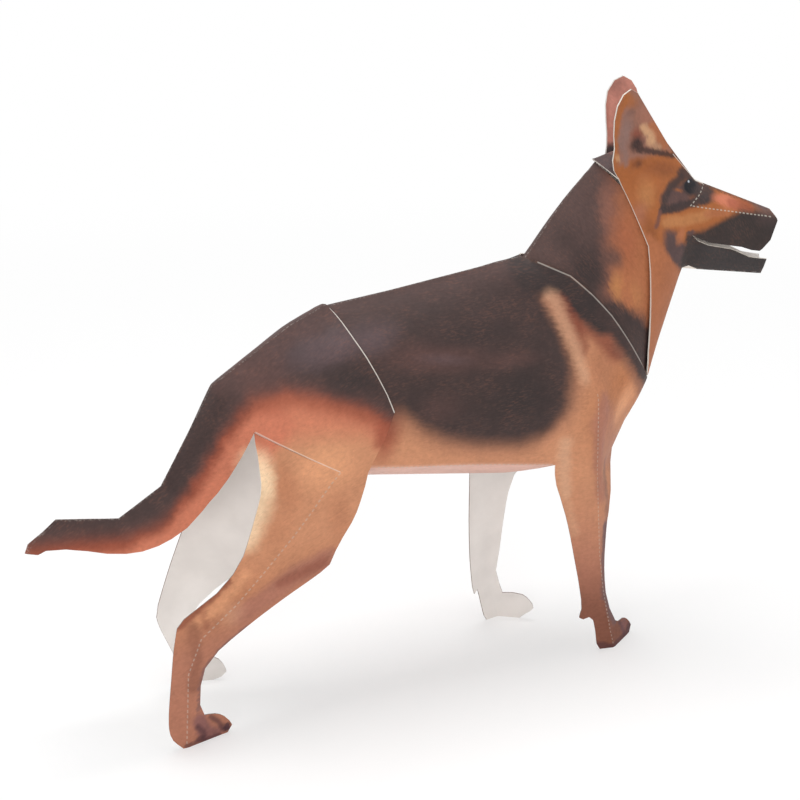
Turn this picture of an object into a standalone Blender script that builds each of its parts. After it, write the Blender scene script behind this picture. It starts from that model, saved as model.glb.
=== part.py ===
"""A standing dog folded from printed card.

Five sheets make the dog: the body with its two front legs, the hindquarters
with the hind legs and the tail, the neck, the head with its ears, and the crown
that closes the top of the head and backs the ears. Each sheet is folded along
the dog's middle, so each is drawn as seen from the side, one half at a time,
and then opened out to the width that the fold gives it.

All sizes are in millimetres. X runs towards the nose, Y to the far side, Z up.
"""

import bpy
import bmesh
from math import cos, hypot, radians, sin, sqrt, tan
from mathutils import Vector
from mathutils.geometry import delaunay_2d_cdt

MM = 0.001
NEAR = -1
FAR = 1

# Middle of the dog's length in the side view, which becomes the origin
MIDDLE = 15.24

# Card and fit
CARD = 0.4
LAYER_GAP = 0.3
LAYER = CARD + LAYER_GAP
NECK_INSET = 1.2
CROWN_INSET = 2 * CARD + LAYER_GAP
FOOT_TRIM = 0.9

# Fineness of the triangles
EDGE_STEP = 5.0
GRID_STEP = 8.0
PAW_STEP = 1.9
LIP_STEP = 2.5
BEND_ERROR = 0.15
SHORTEST_EDGE = 2.3
BACK_LINE_DROPS = (2.1, 5.0, 8.7, 13.2)

# Back, belly and barrel
RUMP_TOP = (-12.6, 125.1)
WITHERS = (51.5, 133.6)
BELLY_REAR = (-7.0, 81.2)
BELLY_FRONT = (54.0, 71.7)
BELLY_ENDS = {NEAR: 54.0, FAR: 44.5}
BELLY_DROP = 10.5
BELLY_WIDTH = 18.5
BARREL_BULGE = 13.0
FRONT_PAW_WIDTH = 16.5
SHOULDER_START = 20.0
LOIN_FRONT = 14.0
RUMP_EDGE_FRONT = -1.3
TORSO_TUCK = 6.4
KEEL_REAR = -13.5
KEEL_SHARED = 38.5

# Chest and neck
CHEST_TOP = (98.8, 87.5)
CHEST_LOW = (87.8, 64.5)
NAPE_TOP = (77.0, 161.6)
THROAT = (107.5, 125.2)
COLLAR_WIDTH = 16.0
NECK_TOP_WIDTH = 12.5
NECK_LENGTH = 38.0
NECK_ROUNDNESS = 0.6
COLLAR_BLEND = 20.0
COLLAR_HOLD = 5.5

# Front legs
FRONT_REAR_TURN = radians(12)
FRONT_FORE_TURN = radians(33)
FRONT_FOLD_TOP = 85.0
FRONT_FOLD_FULL = 55.0
CHEST_ARCH = 14.0

# Hindquarters
TAIL_TIP = (-103.4, 62.6)
HIP_WIDTH = 22.5
HIP_HEIGHT = 95.0
HAUNCH_START = 18.0
HAUNCH_FULL = 40.0
RIDGE_ROUNDING = 8.0
HIND_PAW_WIDTH = 17.5
HIND_REAR_TURN = radians(7)
HIND_FORE_TURN = radians(14)
HIND_FOLD_TOP = 80.0
HIND_FOLD_FULL = 55.0
THIGH_TOP = (-9.2, 80.4)
SLIT_END = (-17.9, 81.7)
SLIT_REAR = (-40.6, 95.0)
SLIT_OPEN = 0.5
SLIT_TUCK = 0.8
SLIT_FADE = 16.0

# Head
HEAD_TURN = radians(-15)
HEAD_AXIS = 85.0
BROW = (112.9, 152.5)
NOSE_TOP = (135.4, 143.6)
NOSE_TIP = (136.5, 140.7)
JAW_END = (134.3, 122.4)
SCORE_REAR = (106.2, 147.3)
SCORE_FRONT = (134.4, 142.0)
EAR_REAR = (82.0, 157.0)
EAR_FRONT = (100.5, 164.3)
EAR_REAR_WIDTH = 9.8
EAR_FORE_SLOPE = -0.4157
EAR_RISE_SLOPE = 0.0263
EAR_BLEND = 5.5
BEVEL_DROP = 1.6
FACE_SLANT = 0.45
FACE_START = 6.5
FACE_FULL = 20.0
FACE_LOW = 112.0
FACE_HIGH = 126.0
BROW_BLEND = 4.5
CHEEK_DEPTH = 0.42
CHEEK_ROUNDNESS = 0.75
JAW_DEPTH = 0.42
JAW_ROUNDNESS = 0.8
TONGUE_INSET = 2.0
CROWN_ROUNDNESS = 0.6
EAR_BACK_FRONT = (96.4, 162.68)

# Fold along the back and tail, with the share of the barrel's width at each point
RUMP_RIDGE = [
    (WITHERS, 1.0), (RUMP_TOP, 1.0), ((-24.2, 120.0), 0.98), ((-48.1, 105.0), 0.82), ((-64.6, 76.4), 0.34),
    ((-77.9, 68.2), 0.27), ((-95.7, 70.9), 0.2), ((-102.6, 65.0), 0.12), (TAIL_TIP, 0.08),
]

# Width of the face at stations along the head
FACE_WIDTHS = [(75.0, 12.5), (92.0, 12.8), (106.2, 9.2), (122.0, 6.6), (137.8, 4.6)]

# Score lines down the legs, as (height, place along X)
FRONT_SCORE = {
    NEAR: [(0, 81.4), (7, 79.3), (15, 77.6), (23, 75.2), (37.5, 72.5), (68, 68.9), (97, 67.2)],
    FAR: [(0, 56.2), (7, 54.4), (15, 52.9), (23, 52.1), (37.5, 52.4), (55, 54.5), (68, 57.5), (97, 65.0)],
}
HIND_SCORE = {
    NEAR: [(0, -66.5), (25, -65.2), (36, -61.0), (45, -50.2), (54, -41.5), (64, -32.4), (82, -17.3)],
    FAR: [(0, -52.5), (9, -54.5), (26, -59.5), (36, -54.0), (50, -45.0), (82, -22.0)],
}


def ramp(start, end, value):
    """Rise smoothly from 0 at start to 1 at end."""
    t = min(1.0, max(0.0, (value - start) / (end - start)))
    return t * t * (3.0 - 2.0 * t)


def mix(a, b, share):
    return a + (b - a) * share


def along(points, value):
    """Read a broken line of (key, value) points, carried on past its ends."""
    pairs = list(zip(points, points[1:]))
    chosen = pairs[-1]
    for pair in pairs:
        if value <= pair[1][0]:
            chosen = pair
            break
    (k0, v0), (k1, v1) = chosen
    return v0 + (v1 - v0) * (value - k0) / (k1 - k0)


def side_of(point, start, end):
    """Distance of a point from a line, positive to the right of its run."""
    dx, dz = end[0] - start[0], end[1] - start[1]
    return ((point[0] - start[0]) * dz - (point[1] - start[1]) * dx) / hypot(dx, dz)


def barrel_arc(drop, height):
    """Half width of the bent sheet at a drop below the back's fold.

    The sheet bends in one arc from the fold on the back to the fold at the belly.
    """
    chord = hypot(height, BELLY_WIDTH)
    radius = chord * chord / (8.0 * BARREL_BULGE) + BARREL_BULGE / 2.0
    reach = radius - BARREL_BULGE
    centre_width = BELLY_WIDTH / 2.0 - reach * height / chord
    centre_drop = height / 2.0 + reach * BELLY_WIDTH / chord
    spread = sqrt(max(radius * radius - (drop - centre_drop) ** 2, 0.0))
    return centre_width + spread, centre_drop, centre_width + radius


def neck_reach(x, z):
    """Distance forward of the collar's line, from the withers to the chest."""
    return -side_of((x, z), WITHERS, CHEST_TOP)


# Along the collar the nape lies this much further off than the line of the back
COLLAR_MATCH = side_of(CHEST_TOP, WITHERS, NAPE_TOP) / side_of(CHEST_TOP, RUMP_TOP, WITHERS)


def neck_width(x, z):
    """Half width of the neck, a flattened tube between nape and throat."""
    behind = side_of((x, z), WITHERS, NAPE_TOP)
    if neck_reach(x, z) < 0.0:
        behind = side_of((x, z), RUMP_TOP, WITHERS) * COLLAR_MATCH
    ahead = -max(side_of((x, z), CHEST_TOP, THROAT), side_of((x, z), CHEST_LOW, CHEST_TOP))
    if behind <= 0.0 or ahead <= 0.0:
        return 0.0
    share = behind / (behind + ahead)
    widest = mix(COLLAR_WIDTH, NECK_TOP_WIDTH, ramp(0.0, NECK_LENGTH, neck_reach(x, z)))
    return widest * (4.0 * share * (1.0 - share)) ** NECK_ROUNDNESS


def barrel_height(x):
    """Height from the belly's fold to the back's, kept level behind the loin."""
    station = max(x, RUMP_TOP[0])
    return along([RUMP_TOP, WITHERS], station) - along([BELLY_REAR, BELLY_FRONT], station)


def body_width(x, z, side):
    """Half width of the body, chest and front legs above the belly's fold."""
    height = barrel_height(x)
    drop = nearest_on_ridge(x, z)[0]
    width, widest_drop, widest = barrel_arc(min(drop, height), height)
    if drop > widest_drop:
        back = along([RUMP_TOP, WITHERS], x)
        fall = (drop - widest_drop) / (back - widest_drop)
        leg = widest - (widest - FRONT_PAW_WIDTH) * fall
        width = mix(width, leg, ramp(SHOULDER_START, BELLY_ENDS[side], x))
    score = along(FRONT_SCORE[side], z)
    if x > score:
        width = chest_width(x, z, side, width, score)
    elif z < FRONT_FOLD_TOP and x > SHOULDER_START:
        turn = tan(FRONT_REAR_TURN) * ramp(FRONT_FOLD_TOP, FRONT_FOLD_FULL, z)
        width -= turn * (score - x) * ramp(SHOULDER_START, score, x)
    width = mix(width, rump_width(x, z, side), ramp(LOIN_FRONT, RUMP_EDGE_FRONT, x))
    return mix(width, neck_width(x, z), ramp(-COLLAR_BLEND, -COLLAR_HOLD, neck_reach(x, z)))


def chest_width(x, z, side, width, score):
    """Half width ahead of the front leg's score line."""
    if z >= CHEST_LOW[1]:
        keel = along([(CHEST_LOW[1], CHEST_LOW[0]), (CHEST_TOP[1], CHEST_TOP[0])], z)
        share = min(1.0, (x - score) / (keel - score))
        return width * (1.0 - share ** mix(1.0, 1.5, ramp(75.0, 105.0, z)))
    top_score = along(FRONT_SCORE[side], CHEST_LOW[1])
    steep = width / (CHEST_LOW[0] - top_score)
    slope = mix(tan(FRONT_FORE_TURN), steep, ramp(CHEST_LOW[1] - CHEST_ARCH, CHEST_LOW[1], z))
    return width - slope * (x - score)


def torso_width(x, z, side):
    """Half width of the torso sheet, whose flaps run in below the belly's fold."""
    fold = along([BELLY_REAR, BELLY_FRONT], x)
    if z < fold and x < BELLY_ENDS[side]:
        return body_width(x, fold, side) * max(0.0, 1.0 - (fold - z) / BELLY_DROP)
    return body_width(x, z, side)


def nearest_on_line(point, start, end):
    """Distance from a point to a straight piece, and the place along it."""
    dx, dz = end[0] - start[0], end[1] - start[1]
    share = ((point[0] - start[0]) * dx + (point[1] - start[1]) * dz) / (dx * dx + dz * dz)
    share = min(1.0, max(0.0, share))
    return hypot(point[0] - start[0] - share * dx, point[1] - start[1] - share * dz), share


def nearest_on_ridge(x, z):
    """Distance to the fold along the back, rounded at its bends, and the width share there."""
    total = 0.0
    shares = 0.0
    for i, ((a, share_a), (b, share_b)) in enumerate(zip(RUMP_RIDGE, RUMP_RIDGE[1:])):
        end = a
        if i == 0:
            end = (a[0] + 10.0 * (a[0] - b[0]), a[1] + 10.0 * (a[1] - b[1]))
        distance = nearest_on_line((x, z), end, b)[0]
        here = mix(share_a, share_b, nearest_on_line((x, z), a, b)[1])
        if distance < 0.01:
            return 0.0, here
        weight = distance ** -RIDGE_ROUNDING
        total += weight
        shares += weight * here
    return total ** (-1.0 / RIDGE_ROUNDING), shares / total


def hind_leg_width(x, z, side):
    """Half width of the hind leg's own plane, folded along its score line."""
    plane = mix(HIND_PAW_WIDTH, HIP_WIDTH, min(1.0, max(0.0, z) / HIP_HEIGHT))
    score = along(HIND_SCORE[side], z)
    turn = tan(HIND_FORE_TURN) if x > score else tan(HIND_REAR_TURN)
    return plane - turn * abs(x - score) * ramp(HIND_FOLD_TOP, HIND_FOLD_FULL, z)


def rump_width(x, z, side):
    """Half width of the rump and tail, above the slit."""
    distance, share = nearest_on_ridge(x, z)
    height = barrel_height(x)
    upper = share * barrel_arc(min(distance, height), height)[0]
    return mix(upper, hind_leg_width(x, z, side), ramp(HAUNCH_START, HAUNCH_FULL, distance))


def thigh_width(x, z, side):
    """Half width of the thigh and leg, tucked in under the rump behind the slit."""
    below = max(0.0, side_of((x, z), SLIT_REAR, SLIT_END))
    if x > SLIT_END[0]:
        below = max(0.0, side_of((x, z), SLIT_END, THIGH_TOP))
    reach = max(0.0, (SLIT_END[0] - x) / (SLIT_END[0] - SLIT_REAR[0]))
    width = mix(rump_width(x, z, side), hind_leg_width(x, z, side), ramp(0.0, SLIT_FADE, below))
    return width - SLIT_TUCK * min(1.0, reach) * ramp(SLIT_FADE, 0.0, below)


def ear_width(x, z):
    """Half width of the ear's flat plane."""
    return EAR_REAR_WIDTH + EAR_FORE_SLOPE * (x - EAR_REAR[0]) + EAR_RISE_SLOPE * (z - EAR_REAR[1])


def face_width(x, z):
    """Half width of the skull, snout and jaw below the head's upper edge."""
    top = along([EAR_REAR, EAR_FRONT, BROW, NOSE_TOP], min(x, NOSE_TOP[0]))
    bottom = along([CHEST_TOP, THROAT, JAW_END], x)
    top_width = max(0.0, ear_width(x, top)) if x < EAR_FRONT[0] else 0.0
    if EAR_FRONT[0] <= x < BROW[0]:
        edge = ear_width(*EAR_FRONT)
        top_width = edge * (BROW[0] - x) / (BROW[0] - EAR_FRONT[0])
    full = along(FACE_WIDTHS, x)
    share = min(1.0, max(0.0, (top - z) / (top - bottom)))
    shoulder = max(BEVEL_DROP, top - along([SCORE_REAR, SCORE_FRONT], x)) / (top - bottom)
    cheek = min(1.0, share / CHEEK_DEPTH) ** CHEEK_ROUNDNESS
    snout = min(1.0, share / shoulder)
    rise = mix(cheek, snout, ramp(SCORE_REAR[0] - BROW_BLEND, SCORE_REAR[0] + BROW_BLEND, x))
    fall = min(1.0, (1.0 - share) / JAW_DEPTH) ** JAW_ROUNDNESS
    return (top_width + (full - top_width) * rise) * fall


def head_width(x, z):
    """Half width of the head sheet, which follows the neck at its rear edge."""
    if x < EAR_FRONT[0] and z > along([EAR_REAR, EAR_FRONT], x):
        return ear_width(x, z)
    ahead = x - HEAD_REAR[-2][0] + FACE_SLANT * (z - HEAD_REAR[-2][1])
    own = ramp(FACE_START, FACE_FULL, ahead) * ramp(FACE_LOW, FACE_HIGH, z)
    width = mix(neck_width(x, z), face_width(x, z), own)
    distance, share = nearest_on_line((x, z), EAR_REAR, EAR_FRONT)
    base = ear_width(mix(EAR_REAR[0], EAR_FRONT[0], share), mix(EAR_REAR[1], EAR_FRONT[1], share))
    return mix(base, width, ramp(0.0, EAR_BLEND, distance))


# Height of the tongue where it is cut square to the forehead's slope
CROWN_TONGUE_DROP = 6.2


def crown_width(x, z):
    """Half width of the crown, from its fold out to the ears and in under the cheeks."""
    ridge = along(CROWN_RIDGE, x)
    if x <= EAR_FRONT[0]:
        foot = along([EAR_REAR, EAR_FRONT], x)
        share = min(1.0, max(0.0, (ridge - z) / (ridge - foot)))
        return (ear_width(x, foot) - CROWN_INSET) * share ** CROWN_ROUNDNESS
    foot = ridge - CROWN_TONGUE_DROP
    return (head_width(x, foot) - TONGUE_INSET) * (ridge - z) / (ridge - foot)


def turned(x, y, z):
    """Turn the head towards the near side, growing along the neck."""
    angle = HEAD_TURN * ramp(0.0, NECK_LENGTH, neck_reach(x, z))
    dx = x - HEAD_AXIS
    return (HEAD_AXIS + dx * cos(angle) - y * sin(angle), dx * sin(angle) + y * cos(angle), z)


def straight(start, end, step=EDGE_STEP):
    """Points from start up to, but without, end."""
    count = max(1, round(hypot(end[0] - start[0], end[1] - start[1]) / step))
    return [(mix(start[0], end[0], i / count), mix(start[1], end[1], i / count)) for i in range(count)]


def polyline(points, step=EDGE_STEP):
    """Points along a broken line, without its last one."""
    out = []
    for start, end in zip(points, points[1:]):
        out += straight(start, end, step)
    return out


def smooth(points, step=EDGE_STEP):
    """Points along a rounded line through all the points, without its last one."""
    padded = [points[0]] + list(points) + [points[-1]]
    out = []
    for p0, p1, p2, p3 in zip(padded, padded[1:], padded[2:], padded[3:]):
        count = max(1, round(hypot(p2[0] - p1[0], p2[1] - p1[1]) / step))
        for i in range(count):
            t = i / count
            out.append(tuple(
                0.5 * (2 * b + (c - a) * t + (2 * a - 5 * b + 4 * c - d) * t * t
                       + (3 * b - a - 3 * c + d) * t * t * t)
                for a, b, c, d in zip(p0, p1, p2, p3)))
    return out


def inside(point, outline):
    """Whether a point lies within a closed outline."""
    x, z = point
    odd = False
    for (x0, z0), (x1, z1) in zip(outline, outline[1:] + outline[:1]):
        if (z0 > z) != (z1 > z) and x < x0 + (x1 - x0) * (z - z0) / (z1 - z0):
            odd = not odd
    return odd


def clearance(point, lines):
    """Shortest distance from a point to any of the line pieces."""
    return min(nearest_on_line(point, start, end)[0] for start, end in lines)


def bend(a, b, width):
    """How far the sheet's true form stands off a straight edge between two points."""
    middle = ((a[0] + b[0]) / 2.0, (a[1] + b[1]) / 2.0)
    off = abs(width(*middle) - (width(*a) + width(*b)) / 2.0)
    across = (width(middle[0] + 0.1, middle[1]) - width(middle[0] - 0.1, middle[1])) / 0.2
    up = (width(middle[0], middle[1] + 0.1) - width(middle[0], middle[1] - 0.1)) / 0.2
    return off / sqrt(1.0 + across * across + up * up), middle


def refined(points, width, closed=True):
    """Split the pieces of a line wherever the sheet bends between its points."""
    out = []
    ends = points[1:] + points[:1] if closed else points[1:]
    for start, end in zip(points, ends):
        length = hypot(end[0] - start[0], end[1] - start[1])
        off, middle = bend(start, end, width)
        if length > 1.0 and off > BEND_ERROR:
            out += refined([start, middle, end], width, False)[:-1]
        else:
            out.append(start)
    return out if closed else out + [points[-1]]


def fill(outline, creases, width, grid):
    """Triangles over an outline, with edges along its creases, finer where it bends."""
    lines = list(zip(outline, outline[1:] + outline[:1]))
    points = list(outline)
    edges = []
    for crease in creases:
        kept = [p for p in crease if inside(p, outline) and clearance(p, lines) > 0.3]
        first = len(points)
        points += kept
        edges += [(i, i + 1) for i in range(first, first + len(kept) - 1)]
        lines += list(zip(kept, kept[1:]))
    row_height = grid * sqrt(3.0) / 2.0
    rows = [round(z / row_height) for _, z in outline]
    columns = [round(x / grid) for x, _ in outline]
    for row in range(min(rows), max(rows) + 1):
        for column in range(min(columns) - 1, max(columns) + 2):
            spot = ((column + 0.5 * (row % 2)) * grid, row * row_height)
            if inside(spot, outline) and clearance(spot, lines) > 0.55 * grid:
                points.append(spot)
    border = [list(range(len(outline)))]
    spots, _, faces = delaunay_2d_cdt([Vector(p) for p in points], edges, border, 1, 1e-5)[:3]
    for _ in range(3):
        extra = set()
        for face in faces:
            for i, j in zip(face, face[1:] + face[:1]):
                a, b = tuple(spots[i]), tuple(spots[j])
                if hypot(b[0] - a[0], b[1] - a[1]) > SHORTEST_EDGE:
                    off, middle = bend(a, b, width)
                    spot = (round(middle[0], 3), round(middle[1], 3))
                    if off > BEND_ERROR and clearance(spot, lines) > 0.4 * SHORTEST_EDGE:
                        extra.add(spot)
        if not extra:
            break
        points += sorted(extra)
        spots, _, faces = delaunay_2d_cdt([Vector(p) for p in points], edges, border, 1, 1e-5)[:3]
    return spots, faces


def add_patch(bm, outline, creases, side, width, grid=GRID_STEP, flip=False):
    """Add one half of a sheet to a mesh, opened out to its width."""
    spots, faces = fill(refined(outline, width), creases, width, grid)
    verts = []
    for spot in spots:
        x, y, z = turned(spot.x, side * width(spot.x, spot.y), spot.y)
        verts.append(bm.verts.new((x, y, z)))
    for face in faces:
        a, b, c = (spots[i] for i in face)
        counter_clockwise = (b - a).cross(c - a) > 0.0
        order = face if counter_clockwise == ((side == NEAR) != flip) else face[::-1]
        bm.faces.new([verts[i] for i in order])


def finish_sheet(name, bm, sink, colour, trim_feet=False):
    """Weld the halves, set the sheet at its layer and give it its thickness."""
    bmesh.ops.remove_doubles(bm, verts=bm.verts, dist=0.02)
    bm.normal_update()
    if sink:
        moves = [v.normal * (v.calc_shell_factor() * -sink) for v in bm.verts]
        for vert, move in zip(bm.verts, moves):
            vert.co += move
        bm.normal_update()
    bmesh.ops.solidify(bm, geom=list(bm.faces), thickness=CARD)
    if trim_feet:
        for vert in bm.verts:
            if vert.co.z < FOOT_TRIM:
                vert.co.z = 0.0
    bmesh.ops.recalc_face_normals(bm, faces=bm.faces)
    bmesh.ops.translate(bm, vec=(-MIDDLE, 0.0, 0.0), verts=bm.verts)
    bmesh.ops.scale(bm, vec=(MM, MM, MM), verts=bm.verts)
    mesh = bpy.data.meshes.new(name)
    bm.to_mesh(mesh)
    bm.free()
    mesh.materials.append(card_material(name, colour))
    sheet = bpy.data.objects.new(name, mesh)
    bpy.context.scene.collection.objects.link(sheet)
    return sheet


def card_material(name, colour):
    """Printed card in one plain colour."""
    material = bpy.data.materials.new(name + "_card")
    material.use_nodes = True
    shader = material.node_tree.nodes["Principled BSDF"]
    shader.inputs["Base Color"].default_value = (*colour, 1.0)
    shader.inputs["Roughness"].default_value = 0.6
    shader.inputs["Metallic"].default_value = 0.0
    return material


def score_line(score):
    """A leg's score line as points in the side view."""
    return polyline([(x, z) for z, x in score] + [(score[-1][1], score[-1][0] + 0.1)])


# Outlines, each a closed run of points in the side view

FRONT_PAWS = {
    NEAR: {
        "front": [CHEST_LOW, (84.2, 62.0), (81.0, 58.4), (78.0, 53.4), (76.5, 47.0), (75.9, 39.0),
                  (75.6, 31.0), (76.7, 21.6), (78.8, 15.2), (82.5, 9.0)],
        "toes": [(82.5, 9.0), (85.0, 7.4), (87.8, 7.1), (90.4, 5.4), (92.8, 2.2), (91.6, 0.9), (89.4, 0.0)],
        "sole": [(89.4, 0.0), (76.4, 0.0)],
        "heel": [(76.4, 0.0), (75.2, 2.0), (74.2, 7.0), (72.9, 11.8), (71.4, 13.2), (69.4, 12.6),
                 (68.0, 13.4), (68.5, 16.5)],
        "rear": [(68.5, 16.5), (68.0, 20.4), (66.4, 27.6), (64.2, 36.3), (62.1, 44.8), (60.0, 52.2),
                 (57.6, 59.0), (55.6, 63.9), (54.5, 68.0), (BELLY_ENDS[NEAR], 71.7)],
    },
    FAR: {
        "front": [CHEST_LOW, (80.0, 62.6), (69.6, 60.2), (63.8, 57.6), (60.5, 53.0), (58.6, 46.7),
                  (57.1, 38.3), (55.6, 25.2), (54.8, 17.8), (57.0, 9.6)],
        "toes": [(57.0, 9.6), (60.0, 9.9), (62.8, 9.4), (65.0, 7.2), (66.2, 4.4), (64.2, 1.9), (61.0, 0.0)],
        "sole": [(61.0, 0.0), (51.2, 0.0)],
        "heel": [(51.2, 0.0), (50.2, 1.8), (49.0, 6.6), (47.6, 12.2), (46.4, 10.8), (45.7, 13.4)],
        "rear": [(45.7, 13.4), (44.8, 23.8), (44.5, 38.4), (44.8, 55.6), (BELLY_ENDS[FAR], 73.2)],
    },
}
HIND_PAWS = {
    NEAR: {
        "front": [THIGH_TOP, (-11.2, 71.1), (-12.9, 63.4), (-17.0, 53.7), (-18.6, 49.0), (-21.7, 47.0),
                  (-34.1, 41.4), (-46.2, 35.1), (-55.5, 30.0), (-59.9, 25.4), (-61.5, 20.0),
                  (-61.9, 13.4), (-60.5, 9.2)],
        "toes": [(-60.5, 9.2), (-56.8, 8.2), (-53.8, 6.0), (-51.4, 2.2), (-53.0, 0.8), (-55.8, 0.0)],
        "sole": [(-55.8, 0.0), (-66.0, 0.0)],
        "heel": [(-66.0, 0.0), (-69.2, 1.9), (-71.1, 5.4), (-71.3, 11.7), (-70.1, 24.1), (-68.9, 34.0),
                 (-67.6, 40.2)],
        "rear": [(-67.6, 40.2), (-65.4, 42.8), (-61.0, 45.7), (-55.5, 49.4), (-50.5, 54.5), (-47.3, 59.8),
                 (-44.6, 68.9), (-43.0, 75.6), (-41.6, 81.8), (-40.8, 88.1)],
    },
    FAR: {
        "front": [THIGH_TOP, (-13.6, 67.0), (-19.4, 54.6), (-21.0, 48.0), (-23.8, 43.4), (-31.9, 39.5),
                  (-39.0, 36.1), (-45.9, 31.7), (-51.0, 27.4), (-53.6, 23.4), (-54.0, 19.0),
                  (-51.8, 12.6), (-49.4, 9.2)],
        "toes": [(-49.4, 9.2), (-45.6, 7.2), (-43.4, 2.6), (-45.0, 0.9), (-47.6, 0.0)],
        "sole": [(-47.6, 0.0), (-54.8, 0.0)],
        "heel": [(-54.8, 0.0), (-56.6, 2.6), (-58.4, 8.0), (-60.6, 14.0), (-63.4, 21.4), (-64.2, 25.0)],
        "rear": [(-64.2, 25.0), (-63.4, 29.2), (-58.6, 42.4), (-53.8, 54.0), (-49.0, 66.0), (-44.6, 78.0),
                 (-41.6, 88.1)],
    },
}
FLAP_CORNER = {NEAR: [(53.2, 67.4), (50.8, 63.9), (47.4, 62.25)], FAR: [(43.8, 69.0), (41.6, 65.4)]}


def keel_height(x):
    """Height of the belly's middle line."""
    return along([BELLY_REAR, BELLY_FRONT], x) - BELLY_DROP


def leg_outline(leg):
    """The free edge of a leg, from its upper front corner round to its upper rear."""
    return (smooth(leg["front"]) + smooth(leg["toes"], PAW_STEP) + straight(*leg["sole"], PAW_STEP)
            + smooth(leg["heel"], PAW_STEP) + smooth(leg["rear"]))


def back_lines():
    """Lines that follow the fold of the back and rump, where the sheets bend most."""
    ridge = [point for point, _ in RUMP_RIDGE[:3]]
    lines = []
    for drop in BACK_LINE_DROPS:
        line = []
        for start, end in zip(ridge, ridge[1:]):
            length = hypot(end[0] - start[0], end[1] - start[1])
            across = ((end[1] - start[1]) / length, -(end[0] - start[0]) / length)
            for x, z in straight(start, end, GRID_STEP)[1 if start == WITHERS else 0:]:
                spot = (x - drop * across[0], z - drop * across[1])
                if clearance(spot, zip(ridge, ridge[1:])) > drop - 0.05:
                    line.append(spot)
        lines.append(line)
    return lines


def torso_outline(side):
    tuck_x = RUMP_TOP[0] - TORSO_TUCK
    tuck_end = (tuck_x, along([RUMP_RIDGE[2][0], RUMP_TOP], tuck_x))
    collar = [WITHERS, (54.3, 132.9), (57.8, 131.7), (62.4, 129.2), (68.9, 123.1), (75.3, 116.2), (81.5, 108.2),
              (87.9, 100.0), (94.2, 92.0)]
    fold_end = (BELLY_ENDS[side], along([BELLY_REAR, BELLY_FRONT], BELLY_ENDS[side]))
    shared = (KEEL_SHARED, keel_height(KEEL_SHARED))
    keel_rear = (KEEL_REAR, keel_height(KEEL_REAR))
    points = straight(tuck_end, RUMP_TOP) + straight(RUMP_TOP, WITHERS) + smooth(collar)
    points += straight(collar[-1], CHEST_TOP) + straight(CHEST_TOP, CHEST_LOW) + leg_outline(FRONT_PAWS[side])
    points += smooth([fold_end] + FLAP_CORNER[side] + ([] if side == NEAR else [shared]))
    points += straight(FLAP_CORNER[NEAR][-1], shared) if side == NEAR else []
    points += straight(shared, keel_rear)
    points += polyline([keel_rear, (KEEL_REAR, 84.0), (-11.0, 98.0), tuck_end])
    return points


def make_torso():
    """Body sheet: barrel, chest, belly flaps and both front legs."""
    bm = bmesh.new()
    for side in (NEAR, FAR):
        fold_end = BELLY_ENDS[side]
        fold = polyline([(x, along([BELLY_REAR, BELLY_FRONT], x)) for x in (KEEL_REAR + 0.5, fold_end - 0.5)])
        creases = [fold, score_line(FRONT_SCORE[side])] + back_lines()
        add_patch(bm, torso_outline(side), creases, side, lambda x, z: torso_width(x, z, side))
    return finish_sheet("torso", bm, 0.0, (0.28, 0.14, 0.08), trim_feet=True)


def rump_outline():
    ridge = [point for point, _ in RUMP_RIDGE[1:]]
    tail = [TAIL_TIP, (-101.8, 62.6), (-99.6, 63.7), (-94.2, 63.7), (-88.7, 62.4), (-83.1, 60.7),
            (-77.7, 59.7), (-73.0, 59.7), (-68.2, 60.9), (-64.3, 62.7), (-59.7, 65.4), (-54.9, 69.9),
            (-50.5, 75.6), (-47.4, 80.8), (-44.0, 87.4), SLIT_REAR]
    edge = [(-4.4, 90.0), (RUMP_EDGE_FRONT, 98.4), (-3.2, 103.5), (-5.4, 108.8), (-7.6, 113.9),
            (-10.0, 118.9), RUMP_TOP]
    points = polyline(ridge) + smooth(tail) + straight(SLIT_REAR, SLIT_END)
    points += straight(SLIT_END, THIGH_TOP) + straight(THIGH_TOP, edge[0]) + straight(edge[0], edge[1])
    return points + smooth(edge[1:])


def thigh_outline(side):
    rear_top = (SLIT_REAR[0], SLIT_REAR[1] - SLIT_OPEN)
    leg = HIND_PAWS[side]
    return (straight(SLIT_END, THIGH_TOP) + leg_outline(leg)
            + straight(leg["rear"][-1], rear_top) + straight(rear_top, SLIT_END))


def make_rump():
    """Hindquarter sheet: rump, tail and both hind legs, lapped over the torso."""
    bm = bmesh.new()
    for side in (NEAR, FAR):
        add_patch(bm, rump_outline(), back_lines(), side, lambda x, z: rump_width(x, z, side))
        add_patch(bm, thigh_outline(side), [score_line(HIND_SCORE[side])], side,
                  lambda x, z: thigh_width(x, z, side))
    return finish_sheet("rump", bm, -LAYER, (0.36, 0.17, 0.09), trim_feet=True)


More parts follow.
